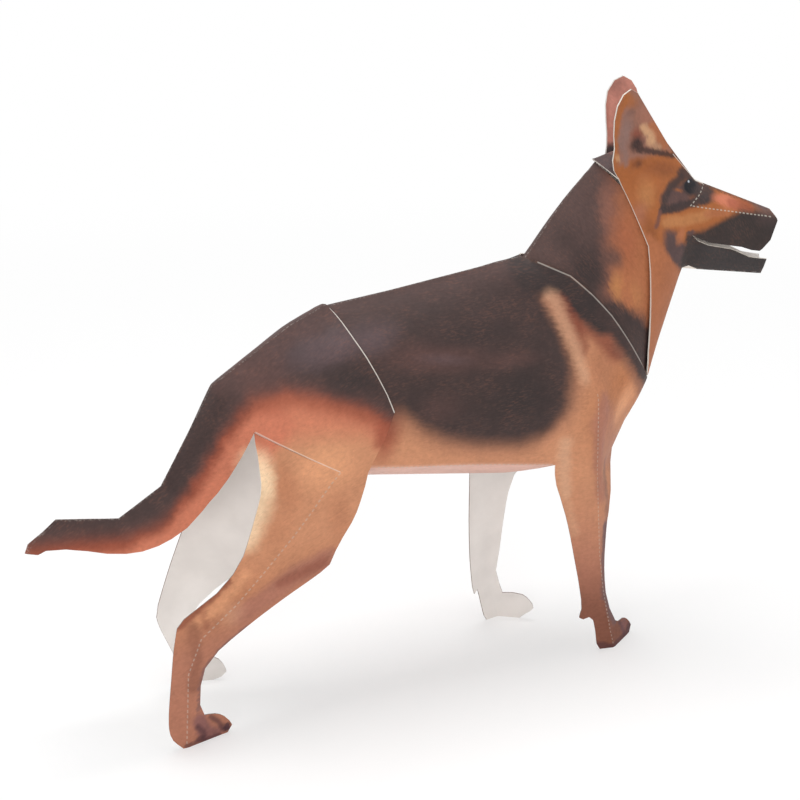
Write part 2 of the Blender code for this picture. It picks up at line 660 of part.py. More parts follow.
def make_neck():
    """Neck sheet, held inside the torso's collar and the head."""
    nape_low = (51.9, along([WITHERS, NAPE_TOP], 51.9))
    throat_low = (96.6, along([CHEST_LOW, CHEST_TOP], 96.6))
    throat_high = (along([(CHEST_TOP[1], CHEST_TOP[0]), (THROAT[1], THROAT[0])], 112.0), 112.0)
    nape_high = (76.4, along([WITHERS, NAPE_TOP], 76.4))
    outline = straight(nape_low, nape_high)
    outline += smooth([nape_high, (84.4, 153.0), (94.0, 139.0), (96.6, 127.5), throat_high])
    outline += polyline([throat_high, CHEST_TOP, throat_low])
    outline += smooth([throat_low, (91.2, 88.8), (84.8, 96.8), (78.4, 105.0), (72.2, 113.0), (65.8, 119.9),
                       (59.3, 126.4)])
    outline += polyline([(59.3, 126.4), (50.6, 130.2), nape_low])
    bm = bmesh.new()
    for side in (NEAR, FAR):
        add_patch(bm, outline, [], side, neck_width)
    return finish_sheet("neck", bm, NECK_INSET, (0.22, 0.11, 0.07))


EARS = {
    NEAR: [EAR_REAR, (80.4, 159.4), (79.8, 162.4), (80.2, 166.0), (79.7, 170.0), (79.6, 174.4), (80.4, 178.8),
           (82.3, 182.0), (84.9, 183.5), (87.3, 182.2), (88.9, 180.0)],
    FAR: [EAR_REAR, (83.2, 159.8), (83.5, 163.6), (83.4, 167.4), (83.0, 171.6), (82.7, 176.2), (83.1, 180.4),
          (84.9, 183.8), (87.4, 185.3), (89.7, 184.0), (91.2, 181.6)],
}
UPPER_LIP = [(107.3, 137.9), (110.0, 136.5), (113.2, 135.2), (118.0, 134.2), (121.4, 133.5), (124.8, 132.9),
             (128.3, 131.6), (131.3, 131.1)]
JAW_EDGE = [(134.5, 127.9), (128.3, 129.0), (125.2, 130.5), (121.4, 132.2), (118.0, 133.0), (113.2, 134.1),
            (109.8, 135.6), (107.3, 137.9)]
CHEEK_EDGE = [EAR_FRONT, (101.6, 162.4), (109.3, 154.0), BROW]
MUZZLE_FRONT = [NOSE_TIP, (134.6, 134.6), UPPER_LIP[-1]]
HEAD_REAR = [(98.2, 89.2), (95.9, 91.4), (93.6, 100.5), (92.9, 112.0), (92.4, 127.6), (91.6, 135.8), EAR_REAR]
CROWN_REAR = (76.6, 161.2)
FOREHEAD_TOP = (103.4, 161.6)
FOREHEAD_LOW = (112.6, 150.4)
CROWN_RIDGE = [CROWN_REAR, (82.0, 163.2), (92.0, 165.4), (EAR_FRONT[0], 165.2), FOREHEAD_TOP, FOREHEAD_LOW]



def make_head():
    """Head sheet: cheeks, snout, open jaw, throat flap and the fronts of the ears."""
    throat_tip = (along([(CHEST_TOP[1], CHEST_TOP[0]), (THROAT[1], THROAT[0])], 89.2), 89.2)
    score = polyline([BROW, SCORE_REAR, SCORE_FRONT])[1:]
    base = polyline([EAR_REAR, EAR_FRONT])[1:]
    bm = bmesh.new()
    for side in (NEAR, FAR):
        ear = EARS[side]
        outline = smooth(ear) + straight(ear[-1], EAR_FRONT) + polyline(CHEEK_EDGE)
        outline += straight(BROW, NOSE_TOP) + straight(NOSE_TOP, NOSE_TIP) + polyline(MUZZLE_FRONT)
        outline += smooth(UPPER_LIP[::-1], LIP_STEP) + smooth(JAW_EDGE[::-1], LIP_STEP)
        outline += polyline([JAW_EDGE[0], JAW_END, THROAT, throat_tip])
        outline += polyline([throat_tip] + HEAD_REAR[:2]) + smooth(HEAD_REAR[1:6]) + straight(*HEAD_REAR[5:])
        add_patch(bm, outline, [score, base], side, head_width)
    return finish_sheet("head", bm, 0.0, (0.42, 0.2, 0.09))


def make_crown():
    """Crown sheet: the top of the head, its tongue down the forehead and the backs of the ears."""
    tongue = [(x, along(CROWN_RIDGE, x) - CROWN_TONGUE_DROP) for x in (110.0, 105.2, EAR_FRONT[0])]
    bm = bmesh.new()
    for side in (NEAR, FAR):
        base = straight(EAR_FRONT, EAR_BACK_FRONT) + straight(EAR_BACK_FRONT, EAR_REAR)
        roof = polyline(CROWN_RIDGE + tongue + [EAR_FRONT]) + base + straight(EAR_REAR, CROWN_REAR)
        add_patch(bm, roof, [], side, crown_width)
        ear = EARS[side]
        back = smooth(ear) + straight(ear[-1], EAR_BACK_FRONT) + straight(EAR_BACK_FRONT, EAR_REAR)
        add_patch(bm, back, [], side, lambda x, z: ear_width(x, z) - CROWN_INSET, flip=True)
    return finish_sheet("crown", bm, 0.0, (0.2, 0.12, 0.1))


def main():
    for item in list(bpy.data.objects):
        bpy.data.objects.remove(item, do_unlink=True)
    make_torso()
    make_rump()
    make_neck()
    make_head()
    make_crown()


main()
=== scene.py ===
"""Looks of a folded card dog: printed card sheets with bare insides and pale cut edges.

The print is laid out in the drawing: the dog's flat side view in millimetres, x towards the nose,
z up, and y across from the fold in the middle of each sheet. Every sheet carries its drawing place
in a point attribute, so the coat pattern stays on the card where the head turns.
"""

from __future__ import annotations

import logging
import math
from collections.abc import Callable
from dataclasses import dataclass, field
from enum import Enum, IntEnum

import bmesh
import bpy
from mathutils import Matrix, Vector
from mathutils.bvhtree import BVHTree

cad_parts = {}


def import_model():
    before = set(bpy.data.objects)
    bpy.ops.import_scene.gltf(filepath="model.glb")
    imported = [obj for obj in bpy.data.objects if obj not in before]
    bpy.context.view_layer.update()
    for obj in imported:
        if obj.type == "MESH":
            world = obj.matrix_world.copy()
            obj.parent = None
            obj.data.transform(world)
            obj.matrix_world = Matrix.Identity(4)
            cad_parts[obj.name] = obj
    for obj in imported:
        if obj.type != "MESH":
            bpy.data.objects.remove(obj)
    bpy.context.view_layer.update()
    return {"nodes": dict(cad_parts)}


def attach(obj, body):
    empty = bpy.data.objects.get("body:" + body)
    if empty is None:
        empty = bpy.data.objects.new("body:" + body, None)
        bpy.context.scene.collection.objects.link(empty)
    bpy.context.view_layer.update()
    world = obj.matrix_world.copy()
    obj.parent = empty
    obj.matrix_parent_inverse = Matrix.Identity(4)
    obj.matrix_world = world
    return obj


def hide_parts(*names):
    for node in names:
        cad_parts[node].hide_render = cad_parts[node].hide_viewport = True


LOG = logging.getLogger("card_dog")

MM = 0.001
DRAWING_MIDDLE = 15.24
DRAWING = "drawing"

# The turn of the head, which the drawing doesn't have, and the rounds that undo it
HEAD_TURN = math.radians(-15)
HEAD_AXIS = 85.0
NECK_LENGTH = 38.0
WITHERS = (51.5, 133.6)
CHEST_TOP = (98.8, 87.5)
UNTURNING_ROUNDS = 12

# Card, and how its broad sides are told from its cut edges
CARD = 0.4
MERGE_DISTANCE = 0.002 * MM
PROBE_START = 0.02 * MM
PROBE_REACH = 1.25 * CARD * MM
BACK_TO_BACK = -0.5
ROUND_A_BEND = -0.2
SHARP_FOLD = math.radians(24)

# Reach of a field that runs on past the sheet
FAR = 1000.0

# Score lines: their width and the inked share of each dash
HAIRLINE = 0.2
DASH_SHARE = 0.55

# Nodes: a noise's roughness, and the least span that a ramp is stretched over
NOISE_ROUGHNESS = 0.55
LEAST_SPAN = 0.001

Point = tuple[float, float]
Line = tuple[Point, ...]


class Side(IntEnum):
    """Material slots of a sheet, one for each kind of card surface."""

    PRINT = 0
    BARE = 1
    CUT = 2


class Facing(Enum):
    """Which way the printed side of a sheet looks."""

    OUTWARDS = "outwards"
    UPWARDS = "upwards"


@dataclass(frozen=True)
class Tone:
    """A printed colour, written as it looks on paper in steps of 0 to 255."""

    red: int
    green: int
    blue: int

    def linear(self) -> tuple[float, float, float, float]:
        """Give the colour as the shader reads it."""
        steps = []
        for step in (self.red, self.green, self.blue):
            share = step / 255.0
            steps.append(share / 12.92 if share <= 0.04045 else ((share + 0.055) / 1.055) ** 2.4)
        return (steps[0], steps[1], steps[2], 1.0)


class Ink(Enum):
    """Colours of the printed coat and of the painted light along the top of its back, the card and the
    studio.
    """

    SADDLE = Tone(63, 49, 47)
    SADDLE_DEEP = Tone(54, 44, 43)
    # The warm and grey saddle tones below are print, and near the ridge they are also painted light that
    # makes the top of the back lighter
    SADDLE_WARM_AND_TOP_LIGHT = Tone(88, 63, 59)
    SADDLE_GREY_AND_TOP_LIGHT = Tone(92, 75, 77)
    FRINGE = Tone(122, 80, 64)
    TAN = Tone(198, 138, 103)
    TAN_LIGHT = Tone(226, 162, 120)
    TAN_DEEP = Tone(182, 121, 88)
    CREAM = Tone(242, 214, 176)
    SAND = Tone(205, 156, 124)
    ORANGE = Tone(184, 117, 76)
    RUST = Tone(150, 77, 56)
    RUST_DEEP = Tone(128, 66, 50)
    RUST_LIGHT = Tone(200, 119, 91)
    RED_BROWN = Tone(168, 111, 91)
    LEG_BROWN = Tone(125, 77, 60)
    LEG_PURPLE = Tone(104, 80, 82)
    BELLY = Tone(220, 178, 164)
    CLAW = Tone(82, 52, 56)
    TOE = Tone(122, 82, 84)
    NAPE = Tone(75, 60, 58)
    NAPE_WARM = Tone(110, 74, 66)
    THROAT = Tone(172, 106, 70)
    FACE = Tone(164, 97, 54)
    FACE_DEEP = Tone(132, 76, 44)
    FACE_LIGHT = Tone(182, 122, 76)
    MUZZLE = Tone(56, 47, 45)
    JAW = Tone(56, 51, 51)
    CHEEK = Tone(85, 66, 65)
    EYE = Tone(28, 27, 31)
    EYE_GLINT = Tone(186, 192, 198)
    EYE_RING = Tone(57, 48, 48)
    EAR = Tone(146, 102, 86)
    EAR_GREY = Tone(138, 108, 100)
    EAR_CANAL = Tone(58, 42, 40)
    EAR_CREAM = Tone(208, 162, 122)
    EAR_BACK = Tone(206, 140, 124)
    CROWN = Tone(80, 65, 65)
    SCORE = Tone(190, 184, 172)
    WORN = Tone(196, 186, 178)
    CARD_WHITE = Tone(238, 232, 227)
    CARD_GREY = Tone(218, 212, 207)
    CUT_PALE = Tone(232, 224, 214)
    CUT_DARK = Tone(112, 84, 76)
    FLOOR = Tone(253, 253, 253)


def math_node(operation: str) -> Callable[[Signal, object], Signal]:
    """Give the method that puts one Math node between a signal and another value."""

    def method(self: Signal, other: object = 0.0) -> Signal:
        node = self.recipe.node("ShaderNodeMath", {"operation": operation}, {0: self, 1: other})
        return Signal(self.recipe, node.outputs[0])

    return method


class Signal:
    """A socket of a shader that Python's operators work on."""

    __add__ = math_node("ADD")
    __sub__ = math_node("SUBTRACT")
    __mul__ = math_node("MULTIPLY")
    __truediv__ = math_node("DIVIDE")
    at_least = math_node("MAXIMUM")
    at_most = math_node("MINIMUM")
    below = math_node("LESS_THAN")
    fraction = math_node("FRACT")
    magnitude = math_node("ABSOLUTE")

    def __init__(self, recipe: Recipe, socket: bpy.types.NodeSocket) -> None:
        """Keep the socket and the recipe that new nodes go into."""
        self.recipe = recipe
        self.socket = socket

    def rise(self, start: float, end: float) -> Signal:
        """Go smoothly from 0 to 1 between two values, or down where start is the larger.

        Args:
            start: Value at which the result leaves one end.
            end: Value at which it reaches the other.

        Returns:
            The smooth step.
        """
        low, high = min(start, end), max(start, end)
        ends = {3: 0.0, 4: 1.0} if start < end else {3: 1.0, 4: 0.0}
        settings = {"interpolation_type": "SMOOTHSTEP"}
        node = self.recipe.node("ShaderNodeMapRange", settings, {0: self, 1: low, 2: high, **ends})
        return Signal(self.recipe, node.outputs[0])


class Recipe:
    """One material and the nodes it is made of."""

    def __init__(self, name: str, specular: float) -> None:
        """Start a material with its shader and output.

        Args:
            name: Name of the material.
            specular: Specular level, the same all over.
        """
        self.material = bpy.data.materials.new(name)
        self.material.use_nodes = True
        self.tree = self.material.node_tree
        self.tree.nodes.clear()
        self.shader = self.node("ShaderNodeBsdfPrincipled", {}, {"Specular IOR Level": specular})
        self.output = self.node("ShaderNodeOutputMaterial", {}, {})
        self.tree.links.new(self.shader.outputs[0], self.output.inputs["Surface"])

    def node(self, kind: str, settings: dict, inputs: dict) -> bpy.types.Node:
        """Add a node.

        Args:
            kind: Blender's name of the node's type.
            settings: Its own settings, set first; "stops" holds a ramp's stops.
            inputs: Values or signals by the socket's name or number.

        Returns:
            The node.
        """
        node = self.tree.nodes.new(kind)
        for key, value in settings.items():
            if key == "stops":
                self._set_stops(node.color_ramp, value)
            else:
                setattr(node, key, value)
        for key, value in inputs.items():
            self.feed(node.inputs[key], value)
        return node

    def _set_stops(self, ramp: bpy.types.ColorRamp, stops: list[tuple[float, float]]) -> None:
        """Write a ramp's stops as grey levels."""
        while len(ramp.elements) < len(stops):
            ramp.elements.new(1.0)
        for element, (place, level) in zip(ramp.elements, stops):
            element.position = place
            element.color = (level, level, level, 1.0)

    def feed(self, socket: bpy.types.NodeSocket, value: object) -> None:
        """Link a signal, a colour or a plain value to a socket."""
        if isinstance(value, Signal):
            self.tree.links.new(value.socket, socket)
        elif isinstance(value, Ink):
            socket.default_value = value.value.linear()
        else:
            socket.default_value = value

    def vector(self, operation: str, first: object, second: object = (0.0, 0.0, 0.0)) -> Signal:
        """Add a Vector Math node; a length comes out as a number."""
        node = self.node("ShaderNodeVectorMath", {"operation": operation}, {0: first, 1: second})
        return Signal(self, node.outputs["Value" if operation in ("LENGTH", "DOT_PRODUCT") else "Vector"])

    def placed(self, vector: Signal, centre: Point, tilt: float, size: Point) -> Signal:
        """Look at a vector from a place in the drawing.

        Args:
            vector: Drawing coordinates.
            centre: Place that becomes zero.
            tilt: Turn in degrees, rising towards the nose.
            size: Lengths along and across that become one.

        Returns:
            The vector as seen from there.
        """
        settings = {"vector_type": "TEXTURE"}
        values = {
            "Vector": vector,
            "Location": (centre[0], 0.0, centre[1]),
            "Rotation": (0.0, -math.radians(tilt), 0.0),
            "Scale": (size[0], 1.0, size[1]),
        }
        return Signal(self, self.node("ShaderNodeMapping", settings, values).outputs[0])

    def noise(self, vector: Signal, scale: float, detail: float = 3.0) -> Signal:
        """Give a noise from 0 to 1 with so many bumps a unit."""
        inputs = {"Vector": vector, "Scale": scale, "Detail": detail, "Roughness": NOISE_ROUGHNESS}
        return Signal(self, self.node("ShaderNodeTexNoise", {}, inputs).outputs[0])

    def blend(self, share: object, under: object, over: object) -> Signal:
        """Lay one colour over another by a share."""
        node = self.node("ShaderNodeMix", {"data_type": "RGBA"}, {0: share, 6: under, 7: over})
        return Signal(self, node.outputs[2])

    def scaled(self, colour: object, level: Signal) -> Signal:
        """Make a colour darker or lighter by a level around 1."""
        node = self.node("ShaderNodeVectorMath", {"operation": "SCALE"}, {0: colour, 3: level})
        return Signal(self, node.outputs[0])

    def attribute(self, name: str) -> Signal:
        """Read a point attribute as a vector."""
        node = self.node("ShaderNodeAttribute", {"attribute_name": name}, {})
        return Signal(self, node.outputs["Vector"])

    def split(self, vector: Signal) -> tuple[Signal, Signal, Signal]:
        """Give a vector's three numbers."""
        node = self.node("ShaderNodeSeparateXYZ", {}, {0: vector})
        return tuple(Signal(self, socket) for socket in node.outputs)

    def joined(self, x: object, y: object, z: object) -> Signal:
        """Make a vector of three numbers."""
        return Signal(self, self.node("ShaderNodeCombineXYZ", {}, {0: x, 1: y, 2: z}).outputs[0])

    def surface(self, colour: object, roughness: object) -> None:
        """Give the shader its colour and its roughness."""
        self.feed(self.shader.inputs["Base Color"], colour)
        self.feed(self.shader.inputs["Roughness"], roughness)

    def bump(self, height: Signal, strength: float, depth: float) -> None:
        """Raise the surface by a height of 0 to 1.

        Args:
            height: What is raised.
            strength: Share of the relief that shows.
            depth: Relief of a full height, in millimetres.
        """
        inputs = {"Strength": strength, "Distance": depth * MM, "Height": height}
        node = self.node("ShaderNodeBump", {}, inputs)
        self.tree.links.new(node.outputs[0], self.shader.inputs["Normal"])


@dataclass(frozen=True)
class Ground:
    """Where the print is read: the drawing itself and the drawing ruffled like fur."""

    plain: Signal
    furry: Signal


@dataclass(frozen=True)
class Field:
    """One field of colour in the print."""

    ink: Ink
    strength: float = 1.0
    furry: bool = field(default=True, kw_only=True)

    def mask(self, recipe: Recipe, vector: Signal) -> Signal:
        """Give the share of the field at each place."""
        raise NotImplementedError

    def lay(self, recipe: Recipe, ground: Ground, colour: object) -> Signal:
        """Lay the field over the colour so far.

        Args:
            recipe: Material that is made.
            ground: Coordinates of the print.
            colour: What was printed before.

        Returns:
            The colour with this field on it.
        """
        share = self.mask(recipe, ground.furry if self.furry else ground.plain)
        return recipe.blend(share * self.strength, colour, self.ink)


@dataclass(frozen=True)
class Spot(Field):
    """A soft oval: its centre, half length and width, tilt in degrees and the share that is full."""

    centre: Point = (0.0, 0.0)
    size: Point = (1.0, 1.0)
    tilt: float = 0.0
    core: float = 0.1

    def mask(self, recipe: Recipe, vector: Signal) -> Signal:
        """Give 1 in the oval's core and 0 past its rim."""
        away = recipe.vector("LENGTH", recipe.placed(vector, self.centre, self.tilt, self.size))
        return away.rise(1.0, self.core)


@dataclass(frozen=True)
class Stroke(Field):
    """A brush stroke along a line, whole or cut into dashes along one direction."""

    line: Line = ()
    width: float = 1.0
    soft: float = 1.0
    dash: float = 0.0
    dash_tilt: float = 0.0

    def mask(self, recipe: Recipe, vector: Signal) -> Signal:
        """Give 1 within half a width of the line, fading over the soft length."""
        nearest = None
        for start, end in zip(self.line, self.line[1:]):
            run, climb = end[0] - start[0], end[1] - start[1]
            middle = ((start[0] + end[0]) / 2.0, (start[1] + end[1]) / 2.0)
            tilt = math.degrees(math.atan2(climb, run))
            local = recipe.vector("ABSOLUTE", recipe.placed(vector, middle, tilt, (1.0, 1.0)))
            past = recipe.vector("SUBTRACT", local, (math.hypot(run, climb) / 2.0, 0.0, 0.0))
            away = recipe.vector("LENGTH", recipe.vector("MAXIMUM", past))
            nearest = away if nearest is None else nearest.at_most(away)
        share = nearest.rise(self.width / 2.0 + self.soft, self.width / 2.0)
        if not self.dash:
            return share
        angle = math.radians(self.dash_tilt)
        along = recipe.vector("DOT_PRODUCT", vector, (math.cos(angle), 0.0, math.sin(angle)))
        return share * (along / self.dash).fraction().below(DASH_SHARE)


@dataclass(frozen=True)
class Over(Field):
    """All that lies above a line drawn from left to right, or below it."""

    line: Line = ()
    soft: float = 3.0
    below: bool = False
    reach: Point = (-FAR, FAR)
    reach_soft: float = 3.0

    def mask(self, recipe: Recipe, vector: Signal) -> Signal:
        """Give 1 past the line and 0 before it, within the reach in x."""
        x, _, z = recipe.split(vector)
        drop = z - profile(recipe, x, self.line)
        share = drop.rise(self.soft, -self.soft) if self.below else drop.rise(-self.soft, self.soft)
        if self.reach[0] > -FAR:
            share = share * x.rise(self.reach[0] - self.reach_soft, self.reach[0] + self.reach_soft)
        if self.reach[1] < FAR:
            share = share * x.rise(self.reach[1] + self.reach_soft, self.reach[1] - self.reach_soft)
        return share


@dataclass(frozen=True)
class Enclosed(Field):
    """All that lies above one line and behind another, like the saddle on the body."""

    floor: Line = ()
    front: Line = ()
    soft: float = 3.0

    def mask(self, recipe: Recipe, vector: Signal) -> Signal:
        """Give 1 above the floor and behind the front line, whose points run as (z, x)."""
        x, _, z = recipe.split(vector)
        above = z - profile(recipe, x, self.floor)
        behind = profile(recipe, z, self.front) - x
        return above.at_most(behind).rise(-self.soft, self.soft)


def pale_edge(strength: float, line: Line, width: float = 0.16, soft: float = 0.22) -> Stroke:
    """Draw the pale cut edge of a sheet that laps over the next one."""
    return Stroke(Ink.CUT_PALE, strength, line, width, soft, furry=False)


def score(strength: float, line: Line, dash: float, tilt: float = 0.0, soft: float = 0.14) -> Stroke:
    """Draw a dashed score line, where the card was creased."""
    return Stroke(Ink.SCORE, strength, line, HAIRLINE, soft, dash, tilt, furry=False)


def profile(recipe: Recipe, along: Signal, line: Line) -> Signal:
    """Read a line's height at a place along it.

    Args:
        recipe: Material that is made.
        along: Coordinate the line runs along.
        line: Points in rising order of that coordinate.

    Returns:
        The height, held level past both ends.
    """
    start, end = line[0][0], line[-1][0]
    heights = [height for _, height in line]
    low, high = min(heights), max(heights)
    span = max(high - low, LEAST_SPAN)
    share = recipe.node("ShaderNodeMapRange", {}, {0: along, 1: start, 2: end, 3: 0.0, 4: 1.0})
    stops = [((place - start) / (end - start), (height - low) / span) for place, height in line]
    ramp = recipe.node("ShaderNodeValToRGB", {"stops": stops}, {0: Signal(recipe, share.outputs[0])})
    return Signal(recipe, ramp.outputs[0]) * span + low


@dataclass(frozen=True)
class Coat:
    """Printed side of a sheet: a ground colour, fields over it, fur and the card's own tooth.

    Scales are bumps a millimetre, and hair and strand are the length and width of their bumps.
    Drifts are how far the noises push the edge of a field, along and up. Depths are shares of
    the brightness, but for the tooth's, which is in millimetres.
    """

    name: str
    ground: Ink
    fields: tuple[Field, ...]
    hair_tilt: float = 0.0
    ruffle: float = 1.0
    mottle: float = 0.7
    roughness: float = 0.48
    specular: float = 0.22
    hair: Point = (3.2, 0.8)
    strand: Point = (1.5, 0.42)
    strand_turn: float = 12.0
    strand_shift: Point = (13.0, 7.0)
    fur_shift: tuple[float, float, float] = (0.0, 40.0, 0.0)
    coarse_drift: Point = (4.0, 2.0)
    hair_drift: Point = (3.0, 2.2)
    coarse_scale: float = 0.2
    patch_scale: float = 0.12
    grain_scale: float = 0.8
    fleck_scale: float = 1.4
    sheen_scale: float = 0.35
    tooth_scale: float = 5.5
    hair_depth: float = 0.24
    strand_depth: float = 0.45
    grain_depth: float = 0.55
    patch_depth: float = 0.6
    tuft_share: float = 0.4
    tooth_depth: float = 0.04
    worn_width: Point = (0.1, 0.55)
    worn_share: float = 0.35

    def material(self) -> bpy.types.Material:
        """Make the material."""
        recipe = Recipe(self.name, self.specular)
        place = recipe.attribute(DRAWING)
        x, y, z = recipe.split(place)
        plain = recipe.joined(x, 0.0, z)
        sideways = recipe.vector("ADD", place, self.fur_shift)
        coarse = recipe.noise(place, self.coarse_scale, 4.0) - 0.5
        hair = recipe.noise(recipe.placed(sideways, (0.0, 0.0), self.hair_tilt, self.hair), 1.0, 4.0)
        along, up = (drift * self.ruffle for drift in self.coarse_drift)
        hair_along, hair_up = (drift * self.ruffle for drift in self.hair_drift)
        drift = coarse * along + (hair - 0.5) * hair_along
        lift = (hair - 0.5) * hair_up - coarse * up
        ground = Ground(plain, recipe.vector("ADD", plain, recipe.joined(drift, 0.0, lift)))
        colour = self.ground
        for piece in self.fields:
            colour = piece.lay(recipe, ground, colour)
        colour = self._fur(recipe, sideways, hair, colour)
        colour = self._wear(recipe, place, y, colour)
        tooth = recipe.noise(place, self.tooth_scale, 3.0)
        sheen = recipe.noise(place, self.sheen_scale, 2.0)
        recipe.surface(colour, sheen * 0.16 + tooth * 0.12 + self.roughness)
        recipe.bump(tooth * 0.85 + hair * 0.15, 0.3, self.tooth_depth)
        return recipe.material

    def _fur(self, recipe: Recipe, place: Signal, hair: Signal, colour: object) -> Signal:
        """Brush darker and lighter hairs and patches into the colour."""
        patch = recipe.noise(place, self.patch_scale, 3.0)
        tilt = self.hair_tilt + self.strand_turn
        strand = recipe.noise(recipe.placed(place, self.strand_shift, tilt, self.strand), 1.0, 2.0)
        grain = recipe.noise(place, self.grain_scale, 4.0)
        level = (hair - 0.5) * self.hair_depth + (strand - 0.5) * self.strand_depth
        level = level + (grain - 0.5) * self.grain_depth + (patch - 0.5) * self.patch_depth
        shaded = recipe.scaled(colour, level * self.mottle + 1.0)
        tufts = patch.rise(0.35, 0.65) * strand.rise(0.45, 0.75)
        return recipe.blend(tufts * (self.tuft_share * self.mottle), shaded, Ink.FRINGE)

    def _wear(self, recipe: Recipe, place: Signal, across: Signal, colour: Signal) -> Signal:
        """Rub the ink a little off the middle fold."""
        fold = across.magnitude().rise(self.worn_width[1], self.worn_width[0])
        flecks = recipe.noise(place, self.fleck_scale, 4.0).rise(0.45, 0.65)
        return recipe.blend(fold * flecks * self.worn_share, colour, Ink.WORN)


@dataclass(frozen=True)
class BareCard:
    """Unprinted side of the card, white with a faint grey cloud and fibres."""

    name: str = "bare_card"
    roughness: float = 0.66
    specular: float = 0.3
    cloud_scale: float = 0.09
    fibre_scale: tuple[float, float, float] = (1.6, 3.4, 4.6)
    fibre_depth: float = 0.05

    def material(self) -> bpy.types.Material:
        """Make the material."""
        recipe = Recipe(self.name, self.specular)
        place = recipe.attribute(DRAWING)
        cloud = recipe.noise(place, self.cloud_scale, 3.0)
        fibre = recipe.noise(recipe.vector("MULTIPLY", place, self.fibre_scale), 1.0, 4.0)
        colour = recipe.blend(cloud.rise(0.3, 0.75) * 0.5, Ink.CARD_WHITE, Ink.CARD_GREY)
        colour = recipe.blend(fibre.rise(0.62, 0.8) * 0.25, colour, Ink.WORN)
        recipe.surface(colour, fibre * 0.2 + self.roughness)
        recipe.bump(fibre, 0.4, self.fibre_depth)
        return recipe.material


@dataclass(frozen=True)
class CutEdge:
    """Cut edge of the card: pale fibres, and ink that ran over it on the legs and the tail."""

    name: str = "cut_edge"
    inked_below: float = 58.0
    inked_behind: float = -46.0
    fade_up: float = 6.0
    fade_forward: float = 4.0
    roughness: float = 0.78
    specular: float = 0.2
    fibre_scale: float = 2.6
    fibre_depth: float = 0.06

    def material(self) -> bpy.types.Material:
        """Make the material."""
        recipe = Recipe(self.name, self.specular)
        place = recipe.attribute(DRAWING)
        x, _, z = recipe.split(place)
        fibre = recipe.noise(place, self.fibre_scale, 4.0)
        low = z.rise(self.inked_below + self.fade_up, self.inked_below - self.fade_up)
        behind = x.rise(self.inked_behind + self.fade_forward, self.inked_behind - self.fade_forward)
        inked = low.at_least(behind) * (fibre * 0.5 + 0.6)
        colour = recipe.blend(fibre.rise(0.4, 0.75) * 0.4, Ink.CUT_PALE, Ink.WORN)
        colour = recipe.blend(inked, colour, Ink.CUT_DARK)
        recipe.surface(colour, fibre * 0.15 + self.roughness)
        recipe.bump(fibre, 0.5, self.fibre_depth)
        return recipe.material


def smooth_ramp(start: float, end: float, value: float) -> float:
    """Rise smoothly from 0 at start to 1 at end."""
    share = min(1.0, max(0.0, (value - start) / (end - start)))
    return share * share * (3.0 - 2.0 * share)


def past_collar(x: float, z: float) -> float:
    """Give how far a place lies in front of the collar's line."""
    run, climb = CHEST_TOP[0] - WITHERS[0], CHEST_TOP[1] - WITHERS[1]
    return ((x - WITHERS[0]) * -climb + (z - WITHERS[1]) * run) / math.hypot(run, climb)


def line_at(line: Line, place: float) -> float:
    """Read a line of (place, height) points at a place, level past its ends."""
    if place <= line[0][0]:
        return line[0][1]
    for (low, first), (high, second) in zip(line, line[1:]):
        if place <= high:
            return first + (second - first) * (place - low) / (high - low)
    return line[-1][1]


def straightened(spot: Vector) -> Vector:
    """Turn a place on the finished dog back into the drawing.

    Args:
        spot: Place in metres.

    Returns:
        Place in the drawing, in millimetres.
    """
    across, height = spot.y / MM, spot.z / MM
    length = spot.x / MM + DRAWING_MIDDLE
    x, y = length, across
    for _ in range(UNTURNING_ROUNDS):
        angle = HEAD_TURN * smooth_ramp(0.0, NECK_LENGTH, past_collar(x, height))
        ahead = length - HEAD_AXIS
        x = HEAD_AXIS + ahead * math.cos(angle) + across * math.sin(angle)
        y = across * math.cos(angle) - ahead * math.sin(angle)
    return Vector((x, y, height))


